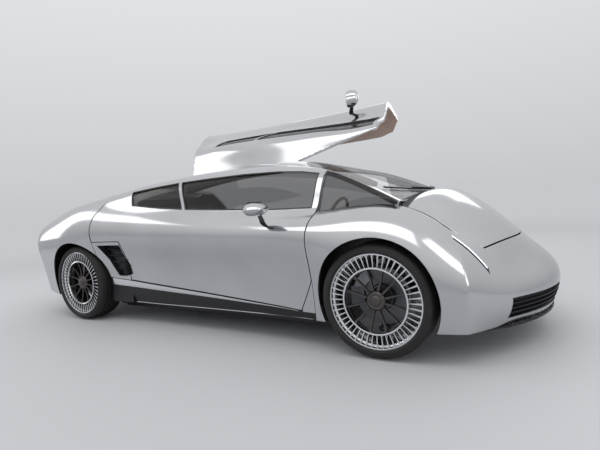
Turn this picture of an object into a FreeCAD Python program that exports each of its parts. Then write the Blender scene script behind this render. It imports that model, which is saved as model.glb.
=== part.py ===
"""Four-seat gull-wing grand tourer: a polished coupe body on a carbon tub.

Millimetres. +X points to the nose, +Y to the car's left, +Z up. The origin is on the ground,
on the centreline, half way between the axles. Each function below makes one piece or one pair.
The left door stands open, the right door is shut.
"""
import FreeCAD, Part
import math
import os

V = FreeCAD.Vector
os.makedirs("parts", exist_ok=True)

# Chassis
wheelbase = 2950.0
front_axle = wheelbase / 2
rear_axle = -wheelbase / 2
nose_x = 2430.0
tail_x = -2450.0
ground_gap = 120.0

# Wheels
tyre_radius = 352.0
tyre_width = 255.0
tyre_crown = 18.0
rim_radius = 294.0
rim_wall = 9.0
wheel_mid_y = 829.0
axle_z = tyre_radius
fin_count = 48
fin_width = 8.0
fin_inner = 196.0
spoke_count = 12
spoke_width = 16.0
hub_radius = 62.0
disc_radius = 180.0
disc_thick = 28.0
disc_y = 770.0
bearing_radius = 42.0
bearing_gap = 0.08
wheel_clear = 6.0
steer_limit = 32.0

# Arches
front_arch = 390.0
rear_arch = 386.0
liner_wall = 5.0
liner_gap = 8.0

# Skins
skin = 28.0
lid_edge_wall = 6.0
roof_skin = 40.0
door_top = 44.0
door_low = 105.0
door_sheet = 15.0
lid_skin = 20.0
glass = 5.0
seat_gap = 0.3
shut_gap = 7.0
rear_gap = 10.0

# Doors
door_front = 1040.0
door_rear = -1180.0
door_rear_low = -826.0
intake_top = 742.0
door_open = 80.0
hinge_y = 300.0
hinge_x = -200.0
hinge_z = 1297.0
hinge_tilt = 2.7
hinge_pin = 5.0
hinge_stations = (-420.0, 20.0)
hinge_length = 60.0
seam_half = 14.0
pillar_root = (120.0, 300.0)
pillar_tip = (1600.0, 741.0)
pillar_width = 42.0

# Bonnet and boot lid
bonnet_rear = 1640.0
bonnet_front = 2200.0
bonnet_sweep = 160.0
bonnet_half = 630.0
lid_front = -1530.0
lid_rear = -2322.0
lid_sweep = 120.0
lid_half = 664.0
channel_half = 300.0
channel_depth = 26.0
lid_pin = 7.0
bonnet_pivot = (1645.0, 945.0)
bonnet_lug_y = 210.0
lid_pivot = (-1535.0, 1046.0)
lid_lug_y = 510.0
intake_half = 640.0
intake_low = 225.0
intake_high = 345.0
screen_top = 640.0
screen_low = 1600.0
roof_rear = -1250.0
shelf_top = 830.0
rear_glass_low = -1485.0
window_crown = 14.0
window_margin = 24.0
window_front = 1000.0
window_post = 30.0
glass_depth = 10.0
post_foot = -165.0
post_head = -300.0
window_rear_low = -800.0
window_rear_high = -885.0
lamp_low = 842.0
lamp_high = 880.0
plate_z = 680.0
pivot_pin = 10.0
pivot_y = 800.0
low_eye = (120.0, 141.0)
high_eye = (565.0, 586.0)
spindle_end = 806.0

# Body sides, one row for each cross-section:
# x, belt y and z, mid y and z, side y and z, waist y and z, low y and z
SIDE = (
    (2060, 650, 598, 775, 540, 880, 440, 885, 320, 865, 190),
    (1860, 690, 762, 835, 690, 955, 530, 958, 370, 925, 190),
    (1700, 706, 868, 862, 790, 982, 610, 985, 400, 945, 190),
    (1475, 738, 925, 872, 862, 993, 690, 990, 430, 950, 190),
    (1047, 792, 903, 870, 862, 955, 785, 940, 560, 893, 190),
    (500, 806, 912, 884, 866, 946, 800, 905, 600, 866, 190),
    (0, 824, 938, 895, 882, 948, 808, 893, 600, 862, 190),
    (-600, 826, 988, 904, 915, 955, 822, 890, 600, 865, 190),
    (-1180, 806, 1062, 915, 970, 978, 845, 930, 620, 888, 190),
    (-1475, 800, 1085, 925, 990, 995, 850, 985, 600, 945, 200),
    (-1800, 790, 1035, 915, 950, 985, 825, 975, 560, 935, 215),
    (-2100, 770, 945, 880, 890, 945, 800, 935, 540, 890, 260),
    (-2300, 740, 880, 830, 850, 880, 790, 870, 530, 830, 310),
)
# Roof and windscreen: x, centre z, rail y and z
ROOF = (
    (1600, 985, 735, 935),
    (1300, 1098, 640, 1080),
    (1047, 1190, 580, 1178),
    (800, 1266, 560, 1222),
    (500, 1320, 588, 1240),
    (200, 1335, 612, 1240),
    (-300, 1320, 645, 1228),
    (-880, 1256, 668, 1188),
    (-1250, 1190, 655, 1150),
)
# Bonnet centreline: x, z
BONNET = ((1600, 984), (1720, 1000), (1920, 905), (2120, 735), (2200, 655), (2330, 520), (2430, 390))
# Boot lid centreline and the quarter panel's inner edge: x, centre z, edge z
DECK = ((-1500, 1088, 1100), (-1800, 1018, 1040), (-2100, 935, 955), (-2330, 872, 885))
# Nose around the front axle, by bearing: degrees, mid r and z, front r and z, chin r and z, low r and z
NOSE = (
    (0, 860, 540, 955, 400, 950, 290, 905, 185),
    (24, 862, 515, 950, 390, 946, 288, 905, 185),
    (47, 915, 520, 972, 405, 972, 290, 935, 185),
)
nose_end = 60.0
nose_bearings = (0, 12, 24, 36, 47)
# Tail around the rear axle, by bearing: degrees, lip r and z, tail r and z, bumper r and z, low r and z
TAIL = (
    (0, 935, 893, 975, 800, 965, 650, 900, 505),
    (22, 965, 894, 1015, 800, 1000, 640, 935, 490),
    (42, 1035, 895, 1085, 800, 1070, 590, 1015, 380),
)
tail_end = 58.0
tail_bearings = (0, 11, 22, 33, 42.5, 50)


def smooth(pairs):
    """Natural cubic line through (position, value) pairs."""
    pairs = sorted(pairs)
    xs = [p[0] for p in pairs]
    ys = [p[1] for p in pairs]
    n = len(xs)
    h = [xs[i + 1] - xs[i] for i in range(n - 1)]
    diagonal = [1.0] * n
    upper = [0.0] * n
    bend = [0.0] * n
    for i in range(1, n - 1):
        slope = 6 * ((ys[i + 1] - ys[i]) / h[i] - (ys[i] - ys[i - 1]) / h[i - 1])
        diagonal[i] = 2 * (h[i - 1] + h[i]) - h[i - 1] * upper[i - 1]
        upper[i] = h[i] / diagonal[i]
        bend[i] = (slope - h[i - 1] * bend[i - 1]) / diagonal[i]
    for i in range(n - 2, 0, -1):
        bend[i] -= upper[i] * bend[i + 1]

    def value(x):
        i = 0
        while i < n - 2 and x > xs[i + 1]:
            i += 1
        a = (xs[i + 1] - x) / h[i]
        b = (x - xs[i]) / h[i]
        curve = (a ** 3 - a) * bend[i] + (b ** 3 - b) * bend[i + 1]
        return a * ys[i] + b * ys[i + 1] + curve * h[i] ** 2 / 6

    return value


def column(table, index):
    return smooth([(row[0], row[index]) for row in table])


side_lines = [column(SIDE, i) for i in range(1, 11)]
roof_centre, rail_y, rail_z = [column(ROOF, i) for i in (1, 2, 3)]
bonnet_centre = smooth(BONNET)
deck_centre, deck_edge = column(DECK, 1), column(DECK, 2)
belt_y, belt_z = side_lines[0], side_lines[1]


def side_points(x, first=0):
    """Section of the body side at x as (y, z): belt, mid, side, waist, low."""
    return [(side_lines[i](x), side_lines[i + 1](x)) for i in range(first, 10, 2)]


def roof_height(x, y):
    return roof_centre(x) - (roof_centre(x) - rail_z(x)) * (y / rail_y(x)) ** 2


def bonnet_height(x, y):
    return bonnet_centre(x) - (bonnet_centre(x) - belt_z(x)) * (abs(y) / belt_y(x)) ** 2.3


def deck_height(x, y):
    """Boot lid surface: a sunk channel down the middle with a soft bank each side."""
    bank = min(max((abs(y) - channel_half) / 130, 0), 1)
    lift = bank * bank * (3 - 2 * bank)
    edge = deck_edge(x) - (abs(y) / lid_half) ** 2 * 4
    return (deck_centre(x) - channel_depth * 0.5) * (1 - lift) + edge * lift


# Shape helpers


def box(x0, x1, y0, y1, z0, z1):
    return Part.makeBox(x1 - x0, y1 - y0, z1 - z0, V(x0, y0, z0))


def rod(start, end, radius):
    a, b = V(*start), V(*end)
    return Part.makeCylinder(radius, (b - a).Length, a, b - a)


def ring(centre, outer, inner, length):
    """Ring about a line along Y, starting at centre."""
    a = V(*centre)
    return Part.makeCylinder(outer, length, a, V(0, 1, 0)).cut(Part.makeCylinder(inner, length, a, V(0, 1, 0)))


def mirrored(shape):
    return shape.mirror(V(0, 0, 0), V(0, 1, 0))


def offset(points, walls):
    """Shift flat points to the right of their direction of travel by a wall each."""
    moved = []
    for i, (p, wall) in enumerate(zip(points, walls)):
        a = points[max(i - 1, 0)]
        b = points[min(i + 1, len(points) - 1)]
        du, dv = b[0] - a[0], b[1] - a[1]
        size = math.hypot(du, dv)
        moved.append((p[0] + wall * dv / size, p[1] - wall * du / size))
    return moved


def skin_wire(outer, inner, place):
    """Closed wire: arcs through the outer points, arcs back through the inner points."""
    edges = []
    back = inner[::-1]
    for line, other in ((outer, back), (back, outer)):
        at = [place(p) for p in line]
        for i in range(0, len(at) - 2, 2):
            edges.append(Part.Arc(at[i], at[i + 1], at[i + 2]).toShape())
        edges.append(Part.makeLine(at[-1], place(other[0])))
    return Part.Wire(edges)


def skin_loft(sections, ruled=False):
    """Solid through sections, each (outer points, wall per point, place function)."""
    wires = []
    for outer, walls, place in sections:
        wires.append(skin_wire(outer, offset(outer, walls), place))
    return Part.makeLoft(wires, True, ruled)


def cross(x):
    """Place for a section across the car: (y, z) at x."""
    return lambda p: V(x, p[0], p[1])


def along(y):
    """Place for a section along the car: (x, z) at y."""
    return lambda p: V(p[0], y, p[1])


def bearing(axle, sign, degrees):
    """Place for an upright section through an axle's middle: (r, z) on a bearing."""
    c, s = math.cos(math.radians(degrees)), math.sin(math.radians(degrees))
    return lambda p: V(axle + sign * p[0] * c, p[0] * s, p[1])


def on_bearing(axle, sign, degrees, y_line, z_line):
    """Where a body line crosses an upright plane through an axle: (r, z)."""
    s = math.sin(math.radians(degrees))
    c = math.cos(math.radians(degrees))
    low, high = 200.0, 900.0
    for _ in range(40):
        mid = (low + high) / 2
        if mid * s / c < y_line(axle + sign * mid):
            low = mid
        else:
            high = mid
    return low / c, z_line(axle + sign * low)


def plan_prism(points, z0=0.0, z1=2500.0):
    wire = Part.makePolygon([V(x, y, z0) for x, y in points] + [V(points[0][0], points[0][1], z0)])
    return Part.Face(wire).extrude(V(0, 0, z1 - z0))


def side_prism(points, y0, y1):
    wire = Part.makePolygon([V(x, y0, z) for x, z in points] + [V(points[0][0], y0, points[0][1])])
    return Part.Face(wire).extrude(V(0, y1 - y0, 0))


def edge_cutter(edge, lean, depth, reach, half):
    """Solid beyond a lid's end: a wall leaning with the skin, following edge(y) -> (x, z) across the car."""
    wires = []
    for k in range(-7, 8):
        y = half * k / 7
        x, z = edge(y)
        low, high = (x - lean * depth, z - depth), (x + lean * depth, z + depth)
        corners = [low, high, (high[0] + reach, high[1] + 120), (low[0] + reach, low[1] - 700), low]
        wires.append(Part.makePolygon([V(a, y, b) for a, b in corners]))
    return Part.makeLoft(wires, True, True)


def pillar_line(x, shift=0.0):
    """Plan line that parts door and windscreen pillar, moved outboard by shift."""
    (x0, y0), (x1, y1) = pillar_root, pillar_tip
    return y0 + (x - x0) * (y1 - y0) / (x1 - x0) + shift


hinge_axis = V(math.cos(math.radians(hinge_tilt)), 0, math.sin(math.radians(hinge_tilt)))
hinge_point = V(hinge_x, hinge_y, hinge_z)


def hinge_at(x, side=1):
    """Point of the door hinge line at x."""
    return V(x, side * hinge_y, hinge_z + (x - hinge_x) * math.tan(math.radians(hinge_tilt)))


pieces = {}


def keep(name, shape):
    pieces[name] = shape


def keep_pair(name, shape):
    keep(name + "_left", shape)
    keep(name + "_right", mirrored(shape))


def open_left(shape):
    turned = shape.copy()
    turned.rotate(hinge_point, hinge_axis, door_open)
    return turned


def keep_door_pair(name, shape):
    """Left copy swung open about the hinge line, right copy shut."""
    keep(name + "_left", open_left(shape))
    keep(name + "_right", mirrored(shape))


# Body panels


def front_fender():
    stations = (door_front + shut_gap, 1260, front_axle, 1700, 1860, 2060)
    sections = []
    for x in stations:
        points = side_points(x)
        sections.append((points, [lid_edge_wall] + [skin] * 4, cross(x)))
    body = skin_loft(sections)
    c, s = math.cos(math.radians(nose_end)), math.sin(math.radians(nose_end))
    ahead = [(front_axle, 0), (front_axle + 1500 * c, 1500 * s), (front_axle + 1500, 1500), (front_axle + 1500, 0)]
    body = body.cut(plan_prism(ahead))
    arch = rod((front_axle, 600, axle_z), (front_axle, 1100, axle_z), front_arch)
    foot = box(front_axle - 900, front_axle + 900, 0, 1100, 0, ground_gap + 70.5)
    body = body.cut(arch).cut(foot)
    bracket = box(door_front + 12, door_front + 30, 832, 925, 420, 640)
    return body.fuse(bracket)


def end_rows(table, ends, degrees, top, bearings):
    """Sections round the nose or tail: smooth lines over the bearing, with the top edge exact."""
    full = table + ((degrees,) + tuple(q for point in ends[1:] for q in point),)
    count = len(full[0])
    lines = [smooth([(-row[0], row[k]) for row in full[1:]] + [(row[0], row[k]) for row in full]) for k in range(1, count)]
    rows = []
    for b in bearings:
        rows.append((b, top(b)) + tuple((lines[k](b), lines[k + 1](b)) for k in range(0, count - 1, 2)))
    rows.append((degrees,) + tuple(ends))
    return rows


def nose():
    sections = []
    ends = [on_bearing(front_axle, 1, nose_end, side_lines[i], side_lines[i + 1]) for i in range(0, 10, 2)]
    rows = end_rows(NOSE, ends, nose_end, nose_top, nose_bearings)
    for row in rows[:0:-1]:
        sections.append((list(row[1:]), [lid_edge_wall] + [skin] * 4, bearing(front_axle, 1, -row[0])))
    for row in rows:
        sections.append((list(row[1:]), [lid_edge_wall] + [skin] * 4, bearing(front_axle, 1, row[0])))
    body = skin_loft(sections)
    c, s = math.cos(math.radians(nose_end)), math.sin(math.radians(nose_end))
    gap = seat_gap / s
    keepout = [(front_axle + gap, 0), (front_axle + gap + 1500 * c, 1500 * s), (front_axle - 500, 1500),
               (front_axle - 500, -1500), (front_axle + gap + 1500 * c, -1500 * s)]
    body = body.cut(plan_prism(keepout))
    mouth = box(front_axle + 500, nose_x + 50, -intake_half, intake_half, intake_low, intake_high)
    return body.cut(mouth)


def nose_top(degrees):
    """Top inner edge of the nose on a bearing, along the bonnet's front shut line."""
    c, s = math.cos(math.radians(degrees)), math.sin(math.radians(degrees))
    r = 500.0
    while front_axle + r * c < bonnet_front + shut_gap - bonnet_sweep * (r * s / bonnet_half) ** 2:
        r += 1.0
    x, y = front_axle + r * c, r * s
    return r, bonnet_height(x, min(y, belt_y(x)))


def nose_shoulder(degrees):
    """Distance from the front axle to the nose's top edge on a bearing beside the bonnet's corner."""
    end = on_bearing(front_axle, 1, nose_end, belt_y, belt_z)[0]
    line = [(b, nose_top(b)[0]) for b in nose_bearings] + [(nose_end, end)]
    return smooth([(-b, r) for b, r in line[1:]] + line)(degrees)


def bonnet():
    sections = []
    for y in (-760, -380, 0, 380, 760):
        xs = [bonnet_rear + (bonnet_front - bonnet_rear) * k / 4 for k in range(5)]
        points = [(x, bonnet_height(x, y)) for x in xs]
        sections.append((points, [lid_skin] * 5, along(y)))
    body = skin_loft(sections)
    edge = [(x, belt_y(x) - shut_gap - 2) for x in (bonnet_rear, 1720, 1800)]
    for degrees in (60, 56, 52, 48):
        r = nose_shoulder(degrees) - shut_gap - 2
        edge.append((front_axle + r * math.cos(math.radians(degrees)), r * math.sin(math.radians(degrees))))
    outline = edge + [(bonnet_front + 60, 560)]
    outline = outline + [(x, -y) for x, y in outline[::-1]]
    body = body.common(plan_prism(outline)).cut(edge_cutter(bonnet_edge, 0.7, 50, 400, 770))
    for y in (-bonnet_lug_y, bonnet_lug_y):
        body = body.fuse([Part.makeCylinder(14, 40, V(bonnet_pivot[0], y - 20, bonnet_pivot[1]), V(0, 1, 0)),
                          box(bonnet_pivot[0] - 7, bonnet_pivot[0] + 7, y - 20, y + 20, bonnet_pivot[1], 970)])
        body = body.cut(Part.makeCylinder(lid_pin + bearing_gap, 60, V(bonnet_pivot[0], y - 30, bonnet_pivot[1]), V(0, 1, 0)))
    return body


def bonnet_edge(y):
    x = bonnet_front - bonnet_sweep * (y / bonnet_half) ** 2
    return x, bonnet_height(x, min(abs(y), belt_y(x)))


def rear_quarter():
    sections = []
    for x in (door_rear - rear_gap, -1320, rear_axle, -1800, -2080, -2300):
        points = quarter_points(x)
        sections.append((points, [skin] * 7, cross(x)))
    body = skin_loft(sections)
    c, s = math.cos(math.radians(tail_end)), math.sin(math.radians(tail_end))
    behind = [(rear_axle - 1500 * c, 1500 * s)] + tail_seam() + [(rear_axle - 1500, 600), (rear_axle - 1500, 1500)]
    body = body.cut(plan_prism(behind))
    arch = rod((rear_axle, 600, axle_z), (rear_axle, 1100, axle_z), rear_arch)
    return body.cut(arch)


def quarter_points(x):
    belt, mid, side, waist, low = side_points(x)
    blend = min(max((x - lid_front) / (door_rear - lid_front), 0), 1)
    edge_y = lid_half + shut_gap + blend * (rail_y(door_rear) - lid_half - shut_gap)
    edge_z = deck_edge(x) * (1 - blend) + (rail_z(min(x + 30, door_rear))) * blend
    edge = (edge_y, edge_z)
    top = ((edge[0] + belt[0]) / 2, (edge[1] + belt[1]) / 2 + 9)
    return [edge, top, belt, mid, side, waist, low]


def tail():
    ends = [on_bearing(rear_axle, -1, tail_end, side_lines[i], side_lines[i + 1]) for i in range(0, 10, 2)]
    rows = end_rows(TAIL, ends, tail_end, tail_top, tail_bearings)
    sections = []
    for row in rows[:0:-1]:
        sections.append((list(row[1:]), [lid_edge_wall] + [skin] * 4, bearing(rear_axle, -1, -row[0])))
    for row in rows:
        sections.append((list(row[1:]), [lid_edge_wall] + [skin] * 4, bearing(rear_axle, -1, row[0])))
    body = skin_loft(sections)
    c, s = math.cos(math.radians(tail_end)), math.sin(math.radians(tail_end))
    gap = seat_gap / s
    side = [(rear_axle - gap - 1500 * c, 1500 * s)] + [(x - gap, y) for x, y in tail_seam()]
    keepout = side + [(x, -y) for x, y in side[::-1]] + [(rear_axle + 500, -1500), (rear_axle + 500, 1500)]
    return body.cut(plan_prism(keepout))


def tail_seam():
    """Plan seam between tail and rear quarter over the deck: from the belt in to the lid's corner."""
    r, _ = on_bearing(rear_axle, -1, tail_end, belt_y, belt_z)
    end = math.radians(tail_end)
    corner_y = lid_half + shut_gap
    corner_x = lid_rear - shut_gap + lid_sweep * (corner_y / lid_half) ** 2
    return [(rear_axle - r * math.cos(end), r * math.sin(end)), (corner_x, corner_y)]


def tail_top(degrees):
    """Top inner edge of the tail on a bearing, along the boot lid's rear shut line and the seam."""
    c, s = math.cos(math.radians(degrees)), math.sin(math.radians(degrees))
    (x0, y0), (x1, y1) = tail_seam()
    if math.degrees(math.atan2(y1, rear_axle - x1)) < degrees:
        share = (y1 * c + (x1 - rear_axle) * s) / ((y1 - y0) * c + (x1 - x0) * s)
        x, y = x1 + (x0 - x1) * share, y1 + (y0 - y1) * share
        return y / s, smooth(quarter_points(x)[:3])(y)
    r = 500.0
    while rear_axle - r * c > lid_rear - shut_gap + lid_sweep * (r * s / lid_half) ** 2:
        r += 1.0
    return r, deck_height(rear_axle - r * c, min(r * s, lid_half)) + 4


def boot_lid():
    sections = []
    for y in (-700, -565, -430, -365, -300, -150, 0, 150, 300, 365, 430, 565, 700):
        xs = [lid_front + (lid_rear - lid_front) * k / 4 for k in range(5)]
        points = [(x, deck_height(x, y)) for x in xs]
        sections.append((points, [-lid_skin] * 5, along(y)))
    body = skin_loft(sections)
    body = body.common(box(lid_rear - 50, lid_front, -lid_half, lid_half, 700, 1300))
    body = body.cut(edge_cutter(lid_edge, -0.3, 50, -300, 710))
    for y in (-lid_lug_y, lid_lug_y):
        body = body.fuse([Part.makeCylinder(14, 40, V(lid_pivot[0], y - 20, lid_pivot[1]), V(0, 1, 0)),
                          box(lid_pivot[0] - 7, lid_pivot[0] + 7, y - 20, y + 20, lid_pivot[1], lid_pivot[1] + 34)])
        body = body.cut(Part.makeCylinder(lid_pin + bearing_gap, 60, V(lid_pivot[0], y - 30, lid_pivot[1]), V(0, 1, 0)))
    return body


def lid_edge(y):
    x = lid_rear + lid_sweep * (y / lid_half) ** 2
    return x, deck_height(x, min(abs(y), lid_half))

# Greenhouse


def roof_frame():
    """Roof strip between the doors, header, both windscreen pillars and the bar over the rear glass."""
    shell = roof_shell(roof_skin)
    strip = hinge_y - seam_half
    rear = door_rear - rear_gap - 1
    side = pillar_line(screen_top, -shut_gap)
    outline = [(roof_rear, rail_y(roof_rear)), (rear, rail_y(rear)), (rear, strip), (pillar_root[0], strip),
               (screen_top, side), (screen_low, pillar_line(screen_low, -shut_gap))]
    outline = outline + [(x, -y) for x, y in outline[::-1]]
    feet = box(screen_low - 40, screen_low - 1, 690, 725, shelf_top + seat_gap, 922)
    frame = shell.common(plan_prism(outline)).cut(plan_prism(screen_outline(0)))
    frame = frame.fuse([feet, mirrored(feet)])
    for x in hinge_stations:
        knuckle = door_knuckle(x, False)
        frame = frame.fuse([knuckle, mirrored(knuckle)])
    return frame.removeSplitter()


def roof_shell(wall):
    sections = []
    for x in (screen_low, 1300, door_front + shut_gap, 800, 500, 200, -300, -880, roof_rear):
        half = rail_y(x)
        points = [(half * k / 2, roof_height(x, half * k / 2)) for k in (-2, -1, 0, 1, 2)]
        sections.append((points, [wall] * 5, cross(x)))
    return skin_loft(sections)


def screen_outline(gap):
    """Plan of the windscreen, inside header and pillars, less a gap all round but the base."""
    inset = -shut_gap - pillar_width - gap
    corner = 200.0
    outline = [(screen_low + 10, pillar_line(screen_low, inset)), (screen_top + corner, pillar_line(screen_top + corner, inset)),
               (screen_top + 60 + gap, 260.0), (screen_top + gap, 0.0)]
    return outline + [(x, -y) for x, y in outline[-2::-1]]


def windscreen():
    return roof_shell(glass).common(plan_prism(screen_outline(seat_gap)))


def door_knuckle(x, moving):
    """Half of a door hinge: a pin on the roof side, an eye on the door side."""
    a, b = hinge_at(x - hinge_length / 2), hinge_at(x + hinge_length / 2)
    along_x = hinge_axis
    if moving:
        eye = Part.makeCylinder(hinge_pin + 4, hinge_length * 0.5, a + along_x * (hinge_length * 0.25), along_x)
        web = box(x - hinge_length * 0.24, x + hinge_length * 0.24, hinge_y, hinge_y + seam_half + 12, -14, -2)
        web.translate(V(0, 0, hinge_at(x).z + 8))
        hole = Part.makeCylinder(hinge_pin + bearing_gap, hinge_length, a, along_x)
        return eye.fuse(web).cut(hole)
    pin = Part.makeCylinder(hinge_pin, hinge_length, a, along_x)
    ears = []
    for k in (0.0, 0.78):
        ear = Part.makeCylinder(hinge_pin + 4, hinge_length * 0.22, a + along_x * (hinge_length * k), along_x)
        centre = a + along_x * (hinge_length * (k + 0.11))
        web = box(centre.x - 6, centre.x + 6, hinge_y - seam_half - 12, hinge_y, centre.z - 8, centre.z + 3)
        ears.extend([ear, web])
    return pin.fuse(ears)


def door_section(x):
    """Door section from the roof seam down to the sill: (y, z) points."""
    seam = hinge_y + seam_half
    rail, belt = (rail_y(x), rail_z(x)), side_points(x)[0]
    roof_mid = ((seam + rail[0]) / 2, roof_height(x, (seam + rail[0]) / 2))
    return [(seam, roof_height(x, seam)), roof_mid, rail, window_mid(x)] + side_points(x)


def window_mid(x):
    rail, belt = (rail_y(x), rail_z(x)), side_points(x)[0]
    return (rail[0] + belt[0]) / 2 + window_crown * 0.8, (rail[1] + belt[1]) / 2 + window_crown * 0.6


def window_panes(grow):
    """Two openings in the door, as side views: rear pane and front pane."""
    def low(x):
        return x, belt_z(x) + window_margin - grow

    def high(x):
        return x, rail_z(x) - window_margin + grow

    half = window_post / 2
    front = [low(post_foot + half - grow), low(250), low(650), low(window_front + grow),
             high(window_front + grow), high(850), high(650), high(350), high(0), high(post_head + half - grow)]
    rear = [low(window_rear_low - grow), low(-500), low(post_foot - half + grow),
            high(post_head - half + grow), high(-600), high(window_rear_high - grow)]
    return [side_prism(front, 340, 1000), side_prism(rear, 340, 1000)]


def door():
    stations = (door_front, 620, 150, -400, -850, door_rear)
    walls = [door_top] * 4 + [door_top, 80, door_low, door_low, door_low]
    body = skin_loft([(door_section(x), walls, cross(x)) for x in stations])
    ahead = [(pillar_root[0], 200), pillar_root, (screen_low, pillar_line(screen_low)), (screen_low, 200)]
    body = body.cut(plan_prism(ahead))
    below = [(1100, 0), (1100, 460), (door_front, 460), (930, door_low_edge(930)), (-1300, door_low_edge(-1300)), (-1300, 0)]
    body = body.cut(side_prism(below, 600, 1100))
    body = body.cut(box(-1300, door_rear_low, 600, 1100, 0, intake_top))
    for pane in window_panes(0):
        body = body.cut(pane)
    rebate = []
    for x in (door_rear - 1, door_rear + 20):
        points = door_section(x)
        rebate.append((offset(points, [30] * 9), [90] * 9, cross(x)))
    body = body.cut(skin_loft(rebate))
    body = body.cut(door_cavity())
    for x in hinge_stations:
        body = body.fuse(door_knuckle(x, True))
    return body.fuse(mirror_stalk(0))


def door_cavity():
    """Hollow between door skin and inner panel, open at the window's lower edge."""
    sections = []
    for x in (door_front - 20, 620, 150, -400, -850, door_rear + 40):
        points = door_section(x)[2:]
        outer = offset(points, [door_sheet] * 7)
        rest = [door_top, door_top, door_top, 80, door_low, door_low, door_low]
        sections.append((outer, [wall - 2 * door_sheet for wall in rest], cross(x)))
    low = [(985, 320), (920, door_low_edge(920) + 30), (-790, door_low_edge(-790) + 30), (-790, intake_top + 25),
           (-1130, intake_top + 25)]
    high = [(x, belt_z(x) + window_margin + 8) for x in (-1130, -900, -600, -200, 200, 600, 985)]
    return skin_loft(sections).common(side_prism(low + high, 600, 1100))


def mirror_stalk(grow):
    a, b = V(660, 880, 835), V(715, 985, 912)
    step = (b - a).normalize() * grow
    return rod(tuple(a), tuple(b + step), 11 + grow)


def door_low_edge(x):
    return 250 + (930 - x) * (380 - 250) / (930 + 700)


def door_glass():
    sections = []
    for x in (door_front, 620, 150, -400, -850, door_rear):
        points = door_section(x)[2:5]
        outer = offset(points, [glass_depth] * 3)
        sections.append((outer, [glass] * 3, cross(x)))
    sheet = skin_loft(sections)
    panes = [sheet.common(pane) for pane in window_panes(-seat_gap)]
    return Part.makeCompound(panes)


def mirror():
    """Door mirror shell: a blunt nose, a flat glass face to the rear."""
    sections = []
    for x, half_y, half_z in ((790, 18, 10), (765, 72, 30), (715, 92, 42), (672, 90, 40)):
        centre_y, centre_z = 1010.0, 945.0
        c = [(-half_y, 0), (-half_y * 0.7, half_z * 0.72), (0, half_z), (half_y * 0.7, half_z * 0.72), (half_y, 0),
             (half_y * 0.7, -half_z * 0.72), (0, -half_z), (-half_y * 0.7, -half_z * 0.72), (-half_y, 0)]
        at = [V(x, centre_y + a, centre_z + b) for a, b in c]
        edges = [Part.Arc(at[i], at[i + 1], at[i + 2]).toShape() for i in (0, 2, 4, 6)]
        sections.append(Part.Wire(edges))
    shell = Part.makeLoft(sections, True, False)
    return shell.cut(mirror_stalk(seat_gap))


def quarter_glass():
    """Fixed pane between pillar and fender, ahead of the door."""
    sections = []
    for x in (door_front + shut_gap, 1300, 1560):
        rail, belt = (rail_y(x), rail_z(x)), side_points(x)[0]
        points = [rail, window_mid(x), belt]
        sections.append((points, [glass] * 3, cross(x)))
    return skin_loft(sections)


def trough(x0, x1, height, half, sign, drop, wall):
    """Sunk dark strip between a glass edge (x0) and a lid (x1), with an upstand at the glass."""
    lip = x0 + sign * 4
    wires = []
    for k in range(-4, 5):
        y = 780 * k / 4
        top, inner, outer = height(x0, y), height(lip, y), height(x1, y) - drop
        corners = [(x0, top), (lip, inner), (lip, inner - drop), (x1, outer), (x1, outer - wall), (x0, top - drop - wall)]
        wires.append(Part.makePolygon([V(x, y, z) for x, z in corners + corners[:1]]))
    outline = [(x0, half(x0)), (x1, half(x1))]
    outline = outline + [(x, -y) for x, y in outline[::-1]]
    return Part.makeLoft(wires, True, False).common(plan_prism(outline))


def pin_stand(pivot, y, x_far, z_low):
    """Two cheeks and a cross pin that carry a lid's lug."""
    cheeks = []
    for y0, y1 in ((y - 40, y - 26), (y + 26, y + 40)):
        cheeks.append(box(pivot[0] - 11, pivot[0] + 11, y0, y1, z_low, pivot[1] + 11))
        x0, x1 = sorted((x_far, pivot[0]))
        cheeks.append(box(x0, x1, y0, y1, z_low, z_low + 12))
    pin = Part.makeCylinder(lid_pin, 80, V(pivot[0], y - 40, pivot[1]), V(0, 1, 0))
    return cheeks + [pin]


def cowl():
    """Dark trough between windscreen and bonnet, with the bonnet's hinge pins."""
    body = trough(screen_low + seat_gap, bonnet_rear - shut_gap, bonnet_height, belt_y, 1, 36, 10)
    for y in (-bonnet_lug_y, bonnet_lug_y):
        body = body.cut(box(screen_low + 6, bonnet_rear, y - 26, y + 26, 800, 1100))
        body = body.fuse(pin_stand(bonnet_pivot, y, bonnet_rear - 20, bonnet_pivot[1] - 12))
    return body


def rear_glass():
    sections = []
    for x in (roof_rear - seat_gap, (roof_rear + rear_glass_low) / 2, rear_glass_low):
        sections.append((rear_section(x), [glass] * 3, cross(x)))
    return skin_loft(sections)


def rear_section(x):
    share = (x - roof_rear) / (lid_front - roof_rear)
    edge = quarter_points(x)[0]
    centre = roof_centre(roof_rear) * (1 - share) + deck_centre(lid_front) * share
    return [(-edge[0], edge[1]), (0, centre), edge]


def rear_cowl():
    """Dark trough between rear glass and boot lid, with the lid's hinge pins."""
    def height(x, y):
        centre, edge = rear_section(x)[1:]
        return centre[1] + (edge[1] - centre[1]) * (y / edge[0]) ** 2

    def half(x):
        return rear_section(x)[2][0]

    body = trough(rear_glass_low - seat_gap, lid_front + shut_gap, height, half, -1, 46, 10)
    for y in (-lid_lug_y, lid_lug_y):
        body = body.cut(box(lid_front, rear_glass_low - 6, y - 26, y + 26, 900, 1200))
        body = body.fuse(pin_stand(lid_pivot, y, lid_front + 20, lid_pivot[1] - 12))
    return body


# Lower body


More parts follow.
